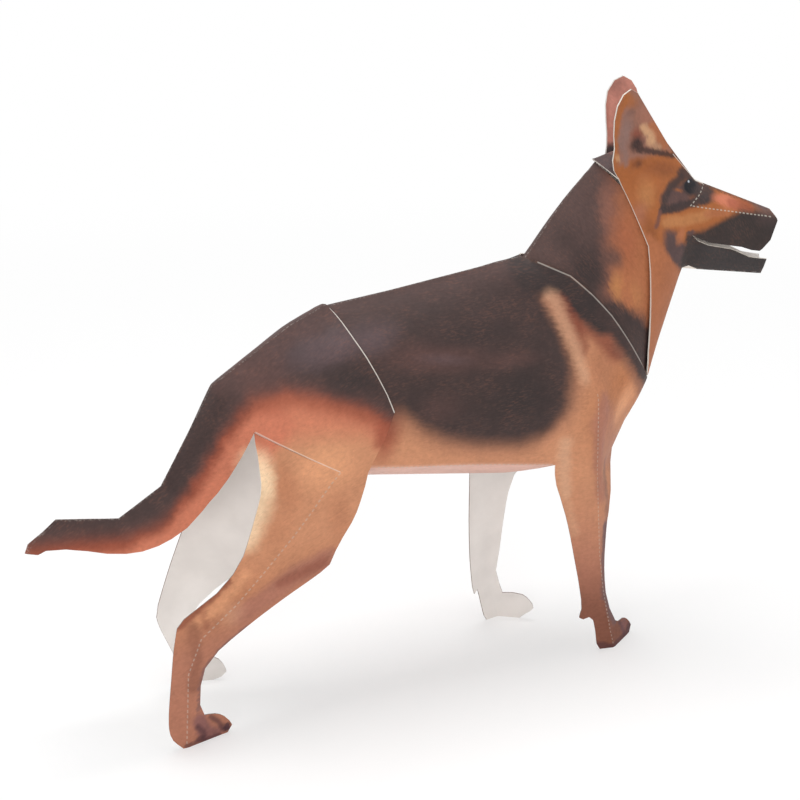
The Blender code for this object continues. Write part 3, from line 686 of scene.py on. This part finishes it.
@dataclass
class CardSheet:
    """One sheet of card: made from its solid, with print, bare card and cut edge told apart."""

    node: str
    coat: Coat
    facing: Facing = Facing.OUTWARDS
    bare: BareCard = BareCard()
    cut: CutEdge = CutEdge()

    def build(self, solid: bpy.types.Object, shared: dict[str, bpy.types.Material]) -> bpy.types.Object:
        """Make the sheet's piece and dress it.

        Args:
            solid: The sheet's CAD node, left as it is.
            shared: Materials that several sheets wear, by name.

        Returns:
            The finished piece.
        """
        piece = self._copy(solid)
        self._tell_sides_apart(piece)
        self._write_drawing(piece)
        for finish in (self.coat, self.bare, self.cut):
            if finish.name not in shared:
                shared[finish.name] = finish.material()
            piece.data.materials.append(shared[finish.name])
        self._shade(piece)
        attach(piece, "root")
        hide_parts(self.node)
        return piece

    def _copy(self, solid: bpy.types.Object) -> bpy.types.Object:
        """Copy the solid's mesh and merge its loose triangles."""
        mesh = solid.data.copy()
        mesh.name = self.node + "_sheet"
        mesh.materials.clear()
        piece = bpy.data.objects.new(self.node + "_sheet", mesh)
        bpy.context.scene.collection.objects.link(piece)
        shape = bmesh.new()
        shape.from_mesh(mesh)
        bmesh.ops.remove_doubles(shape, verts=shape.verts, dist=MERGE_DISTANCE)
        shape.to_mesh(mesh)
        shape.free()
        return piece

    def _tell_sides_apart(self, piece: bpy.types.Object) -> None:
        """Give each face its slot: printed side, bare side or cut edge."""
        shape = bmesh.new()
        shape.from_mesh(piece.data)
        shape.faces.ensure_lookup_table()
        tree = BVHTree.FromBMesh(shape)
        walls = [self._is_wall(tree, face) for face in shape.faces]
        seen = [False] * len(walls)
        for face in shape.faces:
            if seen[face.index] or not walls[face.index]:
                continue
            patch = self._patch_around(face, walls, seen)
            slot = Side.PRINT if self._looks_out(patch) else Side.BARE
            for member in patch:
                member.material_index = slot
        for face in shape.faces:
            if not walls[face.index]:
                face.material_index = Side.CUT
        shape.to_mesh(piece.data)
        shape.free()

    def _is_wall(self, tree: BVHTree, face: bmesh.types.BMFace) -> bool:
        """Tell a broad side of the card from its cut edge by the card's thickness behind it."""
        start = face.calc_center_median() - face.normal * PROBE_START
        place, normal, _, _ = tree.ray_cast(start, -face.normal, PROBE_REACH)
        return place is not None and normal.dot(face.normal) < BACK_TO_BACK

    def _patch_around(self, face: bmesh.types.BMFace, walls: list[bool], seen: list[bool]) -> list:
        """Gather the broad faces that join one face."""
        patch, waiting = [], [face]
        seen[face.index] = True
        while waiting:
            current = waiting.pop()
            patch.append(current)
            for edge in current.edges:
                for other in edge.link_faces:
                    if seen[other.index] or not walls[other.index]:
                        continue
                    if other.normal.dot(current.normal) > ROUND_A_BEND:
                        seen[other.index] = True
                        waiting.append(other)
        return patch

    def _looks_out(self, patch: list) -> bool:
        """Tell whether a patch is the printed side."""
        total = 0.0
        for face in patch:
            outwards = face.normal.z
            if self.facing is Facing.OUTWARDS:
                outwards = face.normal.y * math.copysign(1.0, straightened(face.calc_center_median()).y)
            total += outwards * face.calc_area()
        return total > 0.0

    def _write_drawing(self, piece: bpy.types.Object) -> None:
        """Write each vertex's place in the drawing."""
        layer = piece.data.attributes.new(DRAWING, "FLOAT_VECTOR", "POINT")
        for vertex, entry in zip(piece.data.vertices, layer.data):
            entry.vector = self.print_place(straightened(vertex.co))

    def print_place(self, place: Vector) -> Vector:
        """Give the place of the near side's print that a place in the drawing takes."""
        return place

    def _shade(self, piece: bpy.types.Object) -> None:
        """Smooth the bends and keep the folds and cut edges crisp."""
        bpy.ops.object.select_all(action="DESELECT")
        piece.select_set(True)
        bpy.context.view_layer.objects.active = piece
        bpy.ops.object.shade_smooth_by_angle(angle=SHARP_FOLD)
        bpy.ops.object.select_all(action="DESELECT")


@dataclass
class BodySheet(CardSheet):
    """Body with the front legs; the far leg stands back, and its print with it."""

    near_score: Line = (
        (0, 81.4), (7, 79.3), (15, 77.6), (23, 75.2), (37.5, 72.5), (68, 68.9), (97, 67.2),
    )
    far_score: Line = (
        (0, 56.2), (7, 54.4), (15, 52.9), (23, 52.1), (37.5, 52.4), (55, 54.5), (68, 57.5), (97, 65.0),
    )
    leg_top: Point = (88.0, 66.0)
    leg_rear: Point = (28.0, 46.0)

    def print_place(self, place: Vector) -> Vector:
        """Move the far leg's places onto the near leg's print."""
        if place.y <= 0.0:
            return place
        shift = line_at(self.near_score, place.z) - line_at(self.far_score, place.z)
        share = smooth_ramp(*self.leg_top, place.z) * smooth_ramp(*self.leg_rear, place.x)
        return Vector((place.x + shift * share, place.y, place.z))


@dataclass
class RumpSheet(CardSheet):
    """Hindquarters with the tail; the far leg stands ahead, and its print with it."""

    near_score: Line = (
        (0, -66.5), (25, -65.2), (36, -61.0), (45, -50.2), (54, -41.5), (64, -32.4), (82, -17.3),
    )
    far_score: Line = (
        (0, -52.5), (9, -54.5), (26, -59.5), (36, -54.0), (50, -45.0), (82, -22.0),
    )
    leg_top: Point = (86.0, 64.0)
    tail_root: Point = (-42.8, 88.0)
    tail_lean: float = 0.55
    tail_low: float = 59.0

    def print_place(self, place: Vector) -> Vector:
        """Move the far leg's places onto the near leg's print."""
        root = self.tail_root[0] - (self.tail_root[1] - place.z) * self.tail_lean
        if place.y <= 0.0 or (place.z > self.tail_low and place.x < root):
            return place
        shift = line_at(self.near_score, place.z) - line_at(self.far_score, place.z)
        return Vector((place.x + shift * smooth_ramp(*self.leg_top, place.z), place.y, place.z))


BODY_COAT = Coat(
    name="body_print",
    ground=Ink.TAN,
    fields=(
        Spot(Ink.ORANGE, 0.9, (80, 88), (24, 28), tilt=-50),
        Spot(Ink.TAN_DEEP, 0.8, (72, 101), (12, 13)),
        Spot(Ink.TAN_LIGHT, 0.7, (84, 84), (7, 13), tilt=-35),
        Over(Ink.RED_BROWN, 0.85, ((50, 48), (100, 48)), soft=22, below=True),
        Over(Ink.LEG_BROWN, 0.95, ((50, 27), (100, 27)), soft=16, below=True),
        Stroke(Ink.RED_BROWN, 0.8, ((70, 90), (70.5, 70), (73, 58)), width=3, soft=3.5),
        Stroke(Ink.RED_BROWN, 0.55, ((71, 84), (78, 70), (86, 66)), width=7, soft=5),
        Stroke(Ink.SAND, 0.85, ((56.5, 79), (57, 71), (59, 61)), width=0.8, soft=3.4),
        Stroke(Ink.SAND, 0.45, ((59, 60), (63.5, 46)), width=0.6, soft=2.4),
        Spot(Ink.RUST, 0.9, (-3.5, 92), (7, 14), tilt=-8),
        Enclosed(Ink.FRINGE, 0.7,
                 floor=((-14, 95), (2, 93), (8, 88.5), (15, 84.5), (25, 81), (40, 78.6), (48, 80),
                        (56, 86)),
                 front=((80, 53), (85, 56), (92, 59), (104, 61), (112, 59.5), (120, 56.5), (128, 54)),
                 soft=5.5),
        Enclosed(Ink.SADDLE, 1,
                 floor=((-14, 100), (2, 97.5), (8, 92), (15, 87.6), (25, 84), (40, 81.4), (48, 82.8),
                        (56, 89.5)),
                 front=((80, 50.5), (85, 53), (92, 56), (104, 58.4), (112, 57), (120, 54), (128, 52)),
                 soft=4),
        Spot(Ink.SADDLE_WARM_AND_TOP_LIGHT, 0.85, (14, 111.5), (26, 6.5), tilt=-7),
        Spot(Ink.SADDLE_GREY_AND_TOP_LIGHT, 0.45, (16, 110.8), (13, 2.4), tilt=-8, core=0),
        Spot(Ink.SADDLE_WARM_AND_TOP_LIGHT, 0.6, (38, 108), (14, 4)),
        # Painted light: lighter grey near the top of the back, standing in for light from above
        Spot(Ink.SADDLE_GREY_AND_TOP_LIGHT, 0.8, (-7, 117.5), (17, 6), tilt=12),
        Spot(Ink.SADDLE_WARM_AND_TOP_LIGHT, 0.45, (14, 97), (11, 7)),
        Spot(Ink.SADDLE_DEEP, 0.9, (40, 96), (18, 13)),
        Spot(Ink.SADDLE_DEEP, 0.6, (26, 116), (20, 4), tilt=4),
        # Painted light: a lighter band along the top of the back, standing in for light from above
        Over(Ink.SADDLE_WARM_AND_TOP_LIGHT, 0.5, ((-14, 122), (52, 130)), soft=4.5),
        Stroke(Ink.RUST_DEEP, 0.8, ((58, 124), (65, 116), (71, 113), (79, 105)), width=5, soft=4.4),
        Stroke(Ink.FRINGE, 0.7, ((80, 107), (88, 97), (95, 88)), width=4.5, soft=3.8),
        Stroke(Ink.SADDLE_DEEP, 1, ((50, 129.5), (58, 127.5), (65, 121.5), (73, 115)), width=6,
               soft=4),
        Stroke(Ink.SADDLE, 1, ((72, 117), (82, 106), (92, 94), (98, 88)), width=2, soft=3.2),
        Stroke(Ink.RUST_DEEP, 0.6, ((57.5, 121), (61.5, 114), (64, 108)), width=3.6, soft=2.6),
        Stroke(Ink.SAND, 0.7, ((55.6, 123), (58.5, 116), (61.2, 109), (62.6, 100)), width=0.2, soft=4.2),
        Stroke(Ink.LEG_PURPLE, 0.4, ((77.4, 66), (76.2, 52), (75.6, 42)), width=0.6, soft=1.8),
        Stroke(Ink.LEG_PURPLE, 0.8, ((75.6, 46), (75.3, 39), (75.2, 31), (76.4, 21), (79, 14), (82.5, 9)),
               width=1.2, soft=1.7),
        Over(Ink.BELLY, 0.95, ((-14, 82.3), (-7, 81.4), (54, 71.9), (55, 60)), soft=1, below=True,
             reach=(-FAR, 53), reach_soft=1, furry=False),
        Stroke(Ink.CLAW, 0.7, ((75.4, 2), (79, 0.6), (92, 0.4)), width=1, soft=1.4),
        Stroke(Ink.CLAW, 0.8, ((85.5, 7), (88.4, 1)), width=0.5, soft=1.2),
        Spot(Ink.CLAW, 0.9, (91.4, 2.2), (2.8, 3.4), tilt=-50, core=0.3),
        Spot(Ink.TOE, 0.6, (88, 4.5), (3, 4), core=0.3),
        score(0.6, ((-6.5, 81.1), (54, 71.7)), 1.5),
        score(0.4, ((66.9, 94), (68.9, 68), (72.5, 37.5), (75.2, 23), (79.3, 7), (81, 1.5)), 1.5, 90),
        pale_edge(0.32,
                  ((54.3, 132.6), (62.4, 128.9), (68.9, 122.8), (75.3, 115.9), (87.9, 99.7), (98.6, 87.4)),
                  soft=0.24),
    ),
    hair_tilt=-8,
    ruffle=0.65,
)

RUMP_COAT = Coat(
    name="rump_print",
    ground=Ink.TAN,
    fields=(
        Spot(Ink.TAN_LIGHT, 0.7, (-22, 84), (13, 12)),
        Spot(Ink.TAN_DEEP, 0.7, (-34, 78), (6, 13), tilt=10),
        Spot(Ink.TAN_DEEP, 0.6, (-17, 66), (6, 14), tilt=12),
        Spot(Ink.TAN_DEEP, 0.5, (-37, 66), (7, 10)),
        Over(Ink.TAN_DEEP, 0.8, ((-75, 54), (-20, 56)), soft=9, below=True, reach=(-75, FAR)),
        Over(Ink.RED_BROWN, 0.75, ((-75, 36), (-20, 44)), soft=9, below=True, reach=(-75, FAR)),
        Stroke(Ink.RED_BROWN, 0.95, ((-20, 51), (-31, 48.5), (-42, 43), (-47, 41)), width=4, soft=5),
        Stroke(Ink.RUST_DEEP, 0.5, ((-21, 50.5), (-35, 48)), width=1, soft=3),
        Spot(Ink.SAND, 0.4, (-51, 41.5), (6, 7), core=0),
        Stroke(Ink.TAN_LIGHT, 0.5, ((-47, 54), (-55, 45.5), (-61, 42)), width=0.8, soft=2.6),
        Stroke(Ink.RUST_DEEP, 0.7, ((-52.5, 52.8), (-58, 48), (-63.5, 44.6), (-67, 41)), width=1,
               soft=1.5),
        Stroke(Ink.RUST_DEEP, 0.35, ((-60.5, 47), (-59.4, 40)), width=0.4, soft=2),
        Stroke(Ink.LEG_BROWN, 0.45, ((-63.2, 40), (-62.5, 30), (-63.5, 20)), width=1, soft=2.8),
        Over(Ink.RUST_LIGHT, 0.8,
             ((-66, 84), (-58, 88), (-48, 92), (-38, 93), (-20, 94), (-12, 93), (-6, 89), (-2, 86)),
             soft=5, reach=(-40, FAR), reach_soft=8),
        Stroke(Ink.RUST_LIGHT, 1, ((-38, 97), (-45, 89), (-53, 77), (-63, 66), (-76, 61), (-92, 64)),
               width=10, soft=4),
        Stroke(Ink.RUST, 0.95,
               ((-46, 101), (-52, 90), (-58, 78.5), (-67, 69.5), (-79, 64), (-92, 66), (-104, 63)),
               width=3, soft=4),
        Over(Ink.RUST, 0.7, ((-46, 98.5), (-38, 100.5), (-28, 101.5), (-16, 98.5), (-8, 94.5), (-2, 91)),
             soft=3, reach=(-46, FAR), reach_soft=4),
        Stroke(Ink.RUST, 0.8, ((-2.4, 98), (-4.5, 90)), width=2.4, soft=4),
        Over(Ink.RUST_DEEP, 0.8,
             ((-104, 63.5), (-92, 64.5), (-78, 63), (-70, 65), (-64, 68.5), (-57, 76.5), (-51, 87.5),
              (-46, 96), (-40, 103), (-32, 105), (-22, 104), (-10, 99.5), (-2, 94)), soft=3.4),
        Over(Ink.SADDLE_WARM_AND_TOP_LIGHT, 1,
             ((-104, 65.5), (-92, 66.5), (-78, 65), (-70, 67), (-64, 70.5), (-58, 79), (-52, 89),
              (-47, 97.5), (-40, 105.5), (-32, 107), (-22, 105.5), (-10, 101.5), (-2, 96)), soft=3.4),
        Over(Ink.SADDLE, 0.95,
             ((-104, 68), (-92, 68), (-78, 66), (-70, 68), (-64, 71), (-58, 79), (-52, 89.5), (-47, 99),
              (-40, 108), (-32, 109.5), (-22, 107.5), (-10, 103.5), (-2, 98)), soft=4.4),
        # Painted light: lighter grey below the ridge, standing in for light from above on the top of the
        # rump
        Spot(Ink.SADDLE_GREY_AND_TOP_LIGHT, 0.85, (-17, 117), (22, 7), tilt=16),
        Spot(Ink.SADDLE_WARM_AND_TOP_LIGHT, 0.8, (-37, 109), (14, 6), tilt=30),
        Spot(Ink.SADDLE_DEEP, 0.8, (-13, 108.5), (12, 6)),
        # Painted light: a lighter line along the ridge, where light from above falls
        Stroke(Ink.SADDLE_WARM_AND_TOP_LIGHT, 0.5, ((-12.6, 125), (-24, 120), (-48, 105.4)), width=0.8, soft=2.8),
        Stroke(Ink.CREAM, 0.7, ((-41.2, 86.5), (-41.6, 79), (-43.6, 71.5), (-46.6, 65)), width=0.8,
               soft=6),
        Spot(Ink.CREAM, 0.5, (-40.4, 82.5), (4.6, 7), tilt=6),
        Stroke(Ink.TOE, 0.75, ((-62, 8), (-60.5, 3.5), (-57, 1)), width=2, soft=2.6),
        Stroke(Ink.CLAW, 0.7, ((-62.8, 6), (-61, 3.4), (-60.4, 0.6)), width=0.3, soft=1.5, furry=False),
        Stroke(Ink.CLAW, 0.7, ((-58.4, 7.8), (-55.8, 5), (-54.4, 2)), width=0.3, soft=1.3, furry=False),
        Spot(Ink.CLAW, 1, (-53.2, 2), (2.6, 2.2), tilt=-30, core=0.3),
        Spot(Ink.CLAW, 0.8, (-62.2, 1.6), (2, 1.6), core=0.3),
        Stroke(Ink.CLAW, 0.6, ((-66, 0.6), (-56, 0.4)), width=0.8, soft=0.9),
        Stroke(Ink.LEG_PURPLE, 0.6, ((-61.9, 12), (-61.6, 20), (-59.9, 25.4), (-55.5, 30), (-46.2, 35.1)),
               width=0.5, soft=0.9),
        score(0.4, ((-17.3, 82), (-32.4, 64), (-41.5, 54), (-50.2, 45), (-61, 36), (-65.2, 25), (-66.5, 1)),
              1.6, 60, soft=0.2),
        pale_edge(0.75,
                  ((-12.6, 125.1), (-10.1, 118.9), (-7.7, 113.9), (-5.5, 108.8), (-3.3, 103.5),
                   (-1.5, 98.2)), width=0.08),
        pale_edge(0.45, ((-40.6, 95.1), (-17.9, 81.8)), width=0.1, soft=0.2),
    ),
    hair_tilt=18,
    ruffle=0.7,
)

NECK_COAT = Coat(
    name="neck_print",
    ground=Ink.THROAT,
    fields=(
        Spot(Ink.RUST, 0.35, (84, 138), (7, 14)),
        Enclosed(Ink.NAPE_WARM, 0.8, floor=((40, 60), (110, 60)),
                 front=((98, 64), (110, 74), (118, 79), (125, 77), (132, 79.5), (145, 81.5), (156, 83.5),
                        (168, 86)), soft=4.5),
        Enclosed(Ink.NAPE, 0.9, floor=((40, 60), (110, 60)),
                 front=((98, 60), (112, 70), (118, 75), (125, 73.5), (132, 75.5), (145, 77.5), (156, 80),
                        (168, 84)), soft=4),
        Spot(Ink.SADDLE_DEEP, 0.95, (69, 130), (10, 12)),
        Spot(Ink.SADDLE, 0.7, (64, 140), (9, 6), tilt=45),
        Spot(Ink.RED_BROWN, 0.3, (78, 148), (4, 10), tilt=-8, core=0),
        Spot(Ink.FACE_LIGHT, 0.9, (79, 124), (4, 7)),
        Spot(Ink.FACE_LIGHT, 0.5, (87, 120), (4, 8), tilt=10, core=0),
        Spot(Ink.NAPE, 0.65, (79, 133), (5.5, 4.5)),
        Spot(Ink.FRINGE, 0.8, (88, 111), (10, 6), tilt=-30),
        Stroke(Ink.SADDLE, 1, ((76, 114), (84, 108), (92, 102), (99, 96)), width=8, soft=4.5),
    ),
    hair_tilt=-62,
)

HEAD_COAT = Coat(
    name="head_print",
    ground=Ink.FACE,
    fields=(
        Over(Ink.THROAT, 0.9, ((88, 138), (110, 128)), soft=4.5, below=True),
        Spot(Ink.RED_BROWN, 0.7, (104, 112), (6, 18), tilt=10),
        Spot(Ink.FACE_LIGHT, 0.7, (97.5, 114), (5, 9)),
        Spot(Ink.FACE_DEEP, 0.4, (99, 124), (4, 7), tilt=20),
        Spot(Ink.NAPE, 0.95, (93.5, 99), (7, 9), core=0.2),
        Spot(Ink.FACE_LIGHT, 0.8, (90.5, 152), (4.6, 7)),
        Spot(Ink.FACE_DEEP, 0.8, (98, 158.6), (9, 3.6), tilt=-8),
        Spot(Ink.RED_BROWN, 0.5, (88.5, 146), (4.5, 6)),
        Spot(Ink.FACE_DEEP, 0.7, (92.5, 140), (3.4, 8), tilt=20),
        Over(Ink.EAR, 1, ((78, 159.8), (84, 161.6), (92, 162.6), (103, 163.4)), soft=1.4),
        Stroke(Ink.FACE, 0.95, ((80.2, 161), (80.2, 170), (81, 177), (83, 181.6)), width=1, soft=1.6),
        Spot(Ink.FACE, 0.75, (84.5, 180), (5, 3.4), tilt=-20),
        Spot(Ink.EAR_GREY, 0.9, (83.8, 171), (3.2, 8), tilt=-4),
        Spot(Ink.CHEEK, 0.3, (85.4, 176.6), (2.6, 2), core=0),
        Spot(Ink.RED_BROWN, 0.55, (91, 175), (6, 4.6), tilt=-45),
        Spot(Ink.RUST_DEEP, 0.8, (88.2, 169.6), (4, 3.6)),
        Stroke(Ink.THROAT, 0.9, ((93.5, 171.6), (98.5, 165.8)), width=1.2, soft=2.4),
        Stroke(Ink.EAR_CREAM, 0.8, ((90.2, 171.6), (92.8, 169.2), (93.8, 167.4)), width=0.5, soft=1.9),
        Stroke(Ink.EAR_CREAM, 0.45, ((92.4, 166.8), (96, 165)), width=0.4, soft=1.7),
        Spot(Ink.EAR_CANAL, 1, (88, 166.6), (3.8, 3.6), tilt=-20, core=0.2),
        Stroke(Ink.EAR_CANAL, 0.85, ((89, 165), (92, 164.2), (96, 163.4), (101.5, 161.9)), width=0.6,
               soft=1.3),
        Spot(Ink.FACE_DEEP, 0.95, (88.6, 160.8), (3.8, 2.8)),
        Spot(Ink.EAR_CANAL, 0.35, (89.4, 160.4), (2, 1.8), core=0),
        Spot(Ink.EAR_CREAM, 0.5, (81.2, 163.2), (1.4, 2.4), tilt=40),
        Stroke(Ink.EAR_GREY, 0.7, ((81.6, 169), (84, 164.4), (84.4, 161)), width=0.6, soft=1.5),
        Spot(Ink.CHEEK, 0.95, (101.6, 150.2), (7.8, 5.2), tilt=8, core=0.4),
        Stroke(Ink.EYE_RING, 0.9, ((96.6, 147.6), (97, 151), (99.4, 153.8), (104, 155.2)), width=0.8,
               soft=1.8),
        Stroke(Ink.EYE_RING, 0.95, ((96.2, 147), (102, 147), (107, 148.2), (112, 148.6)), width=1.2,
               soft=1.5),
        Spot(Ink.FACE, 0.75, (102.3, 152), (3, 0.9), tilt=-14, core=0),
        Stroke(Ink.NAPE_WARM, 0.85, ((95.4, 146.4), (94, 142)), width=0.5, soft=1.1),
        Stroke(Ink.EYE_RING, 0.9, ((104.2, 157), (109.4, 154.6)), width=1.2, soft=1.8),
        Spot(Ink.EYE_RING, 1, (107.4, 152.6), (4.8, 3.4), core=0.5),
        Spot(Ink.EYE, 1, (106.9, 152.7), (2.6, 2.3), core=0.72, furry=False),
        Spot(Ink.EYE_GLINT, 0.95, (106.4, 154.1), (0.5, 0.5), core=0.4, furry=False),
        Spot(Ink.FRINGE, 0.6, (108.4, 158.6), (6, 1.4), tilt=-48),
        Over(Ink.CHEEK, 1, ((94, 141.6), (98, 141), (102, 139), (106, 134), (110, 128)), soft=1.6,
             below=True, reach=(97.4, FAR), reach_soft=1.8),
        Over(Ink.MUZZLE, 1,
             ((103, 134), (105.5, 138.4), (111, 139.4), (116, 141.2), (120, 143.6), (124, 145), (136, 143)),
             soft=1.7, below=True, reach=(105, FAR), reach_soft=1.1),
        Spot(Ink.THROAT, 0.95, (103.2, 138.2), (2.3, 4.4), tilt=-10, core=0.2),
        Over(Ink.THROAT, 0.95, ((92, 140), (97.4, 134.6), (102, 129.2), (106, 125.4), (108, 123)), soft=1.5,
             below=True, reach=(-FAR, 107.5), reach_soft=0.8),
        Stroke(Ink.FACE_LIGHT, 0.9, ((97.6, 143.2), (104, 142.8), (112, 144.2)), width=1.4, soft=2),
        Stroke(Ink.THROAT, 0.8, ((112, 144.4), (118.6, 144.6)), width=1, soft=1.6),
        Spot(Ink.EYE_RING, 0.95, (111.8, 150.2), (6.2, 3.2), tilt=-10, core=0.5),
        Spot(Ink.RUST_LIGHT, 0.95, (119.6, 147.4), (6.6, 2.3), tilt=-14, core=0.35),
        Stroke(Ink.RUST, 0.6, ((121, 146.6), (127.6, 145.2)), width=1.2, soft=1.4),
        Stroke(Ink.EYE_RING, 0.6, ((112, 152.9), (124, 148.3), (134, 144.2)), width=0.4, soft=0.9),
        Over(Ink.CHEEK, 0.95, ((127, 142), (137, 142)), soft=5, reach=(130, FAR), reach_soft=3),
        Over(Ink.JAW, 1, ((104.8, 134.2), (113, 134.2), (120, 132), (128, 129), (136, 128)), soft=0.5,
             below=True, reach=(109, FAR), reach_soft=2.4, furry=False),
        Spot(Ink.CHEEK, 0.9, (106.8, 138.6), (1.8, 1.3), tilt=-30, core=0.3),
        score(0.65, ((112.6, 152.2), (106.2, 147.3)), 1.35, 38),
        score(0.65, ((106.2, 147.3), (134.4, 142)), 1.35, -10),
        pale_edge(0.65, ((82, 157), (91.6, 135.8), (92.4, 127.6), (92.9, 112), (93.6, 100.5), (95.9, 91.4)),
                  width=0.1, soft=0.2),
        pale_edge(0.8, ((101.6, 162.4), (109.3, 154), (112.5, 152.6)), soft=0.2),
    ),
    hair_tilt=-70,
    ruffle=0.6,
    mottle=0.55,
)

CROWN_COAT = Coat(
    name="crown_print",
    ground=Ink.CROWN,
    fields=(
        Over(Ink.EAR_BACK, 1, ((76, 161.6), (82, 163.4), (92, 166), (103, 165)), soft=1.2),
        Spot(Ink.CROWN, 1, (79, 161.6), (4.5, 2.2), tilt=18, core=0.5),
        Spot(Ink.NAPE_WARM, 0.5, (84, 183), (7, 6)),
        Stroke(Ink.RUST_DEEP, 0.45, ((82.2, 167), (81.4, 178)), width=0.8, soft=2.4),
        Stroke(Ink.FACE_DEEP, 0.7, ((102, 164), (107, 157.5)), width=2, soft=2.5),
        Stroke(Ink.EYE_RING, 0.8, ((109, 154.5), (113, 150)), width=2.4, soft=2),
    ),
    hair_tilt=-60,
    ruffle=0.7,
)


@dataclass(frozen=True)
class Lamp:
    """A soft square lamp that looks at the dog; lengths in metres, power in watts."""

    name: str
    place: tuple[float, float, float]
    size: float
    power: float


@dataclass
class Studio:
    """Camera, lamps and the pale floor the dog stands on."""

    camera_place: tuple[float, float, float] = (-0.18014, -0.3946, 0.2480)
    azimuth: float = -24.0
    elevation: float = 19.8
    lens: float = 67.5
    sensor: float = 36.0
    clip: Point = (0.01, 50.0)
    aim: tuple[float, float, float] = (0.0, 0.0, 0.09)
    lamps: tuple[Lamp, ...] = (
        Lamp("top_lamp", (0.0, 0.12, 1.25), 0.6, 8.0),
        Lamp("front_lamp", (-0.75, -1.15, 0.38), 0.5, 4.7),
        Lamp("side_lamp", (0.9, -0.9, 0.35), 0.9, 1.6),
    )
    fill: float = 0.53
    white: float = 1.0
    floor_size: float = 12.0
    floor_roughness: float = 0.9
    floor_specular: float = 0.1
    floor_glow: float = 0.45
    glow_grows: Point = (0.16, 0.75)

    def build(self) -> None:
        """Set up everything around the dog."""
        self._camera()
        for lamp in self.lamps:
            self._hang(lamp)
        self._world()
        self._floor()
        bpy.context.scene.view_settings.view_transform = "Standard"

    def _camera(self) -> None:
        """Stand the camera where the photograph was taken from."""
        turn, climb = math.radians(self.azimuth), math.radians(self.elevation)
        level = math.cos(climb)
        back = Vector((math.sin(turn) * level, -math.cos(turn) * level, math.sin(climb)))
        data = bpy.data.cameras.new("camera")
        data.lens = self.lens
        data.sensor_width = self.sensor
        data.clip_start, data.clip_end = self.clip
        camera = bpy.data.objects.new("camera", data)
        bpy.context.scene.collection.objects.link(camera)
        camera.location = self.camera_place
        camera.rotation_euler = back.to_track_quat("Z", "Y").to_euler()
        bpy.context.scene.camera = camera

    def _hang(self, lamp: Lamp) -> None:
        """Hang one lamp and turn it to the dog."""
        data = bpy.data.lights.new(lamp.name, "AREA")
        data.shape = "SQUARE"
        data.size = lamp.size
        data.energy = lamp.power
        light = bpy.data.objects.new(lamp.name, data)
        bpy.context.scene.collection.objects.link(light)
        light.location = lamp.place
        light.rotation_euler = (Vector(lamp.place) - Vector(self.aim)).to_track_quat("Z", "Y").to_euler()

    def _world(self) -> None:
        """Fill in from all round, and show white behind the floor and in reflections."""
        world = bpy.data.worlds.new("studio")
        bpy.context.scene.world = world
        world.use_nodes = True
        nodes, links = world.node_tree.nodes, world.node_tree.links
        nodes.clear()
        path = nodes.new("ShaderNodeLightPath")
        seen = nodes.new("ShaderNodeMath")
        seen.operation = "MAXIMUM"
        links.new(path.outputs["Is Camera Ray"], seen.inputs[0])
        links.new(path.outputs["Is Glossy Ray"], seen.inputs[1])
        level = nodes.new("ShaderNodeMapRange")
        level.inputs["To Min"].default_value = self.fill
        level.inputs["To Max"].default_value = self.white
        links.new(seen.outputs[0], level.inputs[0])
        background = nodes.new("ShaderNodeBackground")
        background.inputs["Color"].default_value = (1.0, 1.0, 1.0, 1.0)
        links.new(level.outputs[0], background.inputs["Strength"])
        output = nodes.new("ShaderNodeOutputWorld")
        links.new(background.outputs[0], output.inputs["Surface"])

    def _floor(self) -> None:
        """Lay a wide pale floor that keeps the dog's shadow."""
        bpy.ops.mesh.primitive_plane_add(size=self.floor_size, location=(0.0, 0.0, 0.0))
        floor = bpy.context.active_object
        floor.name = "floor"
        recipe = Recipe("floor", self.floor_specular)
        recipe.surface(Ink.FLOOR, self.floor_roughness)
        path = recipe.node("ShaderNodeLightPath", {}, {})
        glow = recipe.node("ShaderNodeEmission", {}, {"Strength": self.white})
        place = recipe.node("ShaderNodeTexCoord", {}, {})
        away = recipe.vector("LENGTH", Signal(recipe, place.outputs["Object"]))
        share = away.rise(*self.glow_grows) * (1.0 - self.floor_glow) + self.floor_glow
        seen = Signal(recipe, path.outputs["Is Camera Ray"]) * share
        both = recipe.node("ShaderNodeMixShader", {}, {0: seen})
        recipe.tree.links.new(recipe.shader.outputs[0], both.inputs[1])
        recipe.tree.links.new(glow.outputs[0], both.inputs[2])
        recipe.tree.links.new(both.outputs[0], recipe.output.inputs["Surface"])
        floor.data.materials.append(recipe.material)


def main() -> None:
    """Build the dog's sheets and the studio, and note each sheet's printed, bare and edge faces."""
    logging.basicConfig(level=logging.INFO, format="%(message)s")
    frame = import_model()
    Studio().build()
    sheets = (
        BodySheet("torso", BODY_COAT),
        RumpSheet("rump", RUMP_COAT),
        CardSheet("neck", NECK_COAT),
        CardSheet("head", HEAD_COAT),
        CardSheet("crown", CROWN_COAT, Facing.UPWARDS),
    )
    shared: dict[str, bpy.types.Material] = {}
    for sheet in sheets:
        piece = sheet.build(frame["nodes"][sheet.node], shared)
        counts = [0, 0, 0]
        for face in piece.data.polygons:
            counts[face.material_index] += 1
        LOG.info("%s: %d printed, %d bare and %d edge faces", piece.name, *counts)


if __name__ == "__main__":
    main()
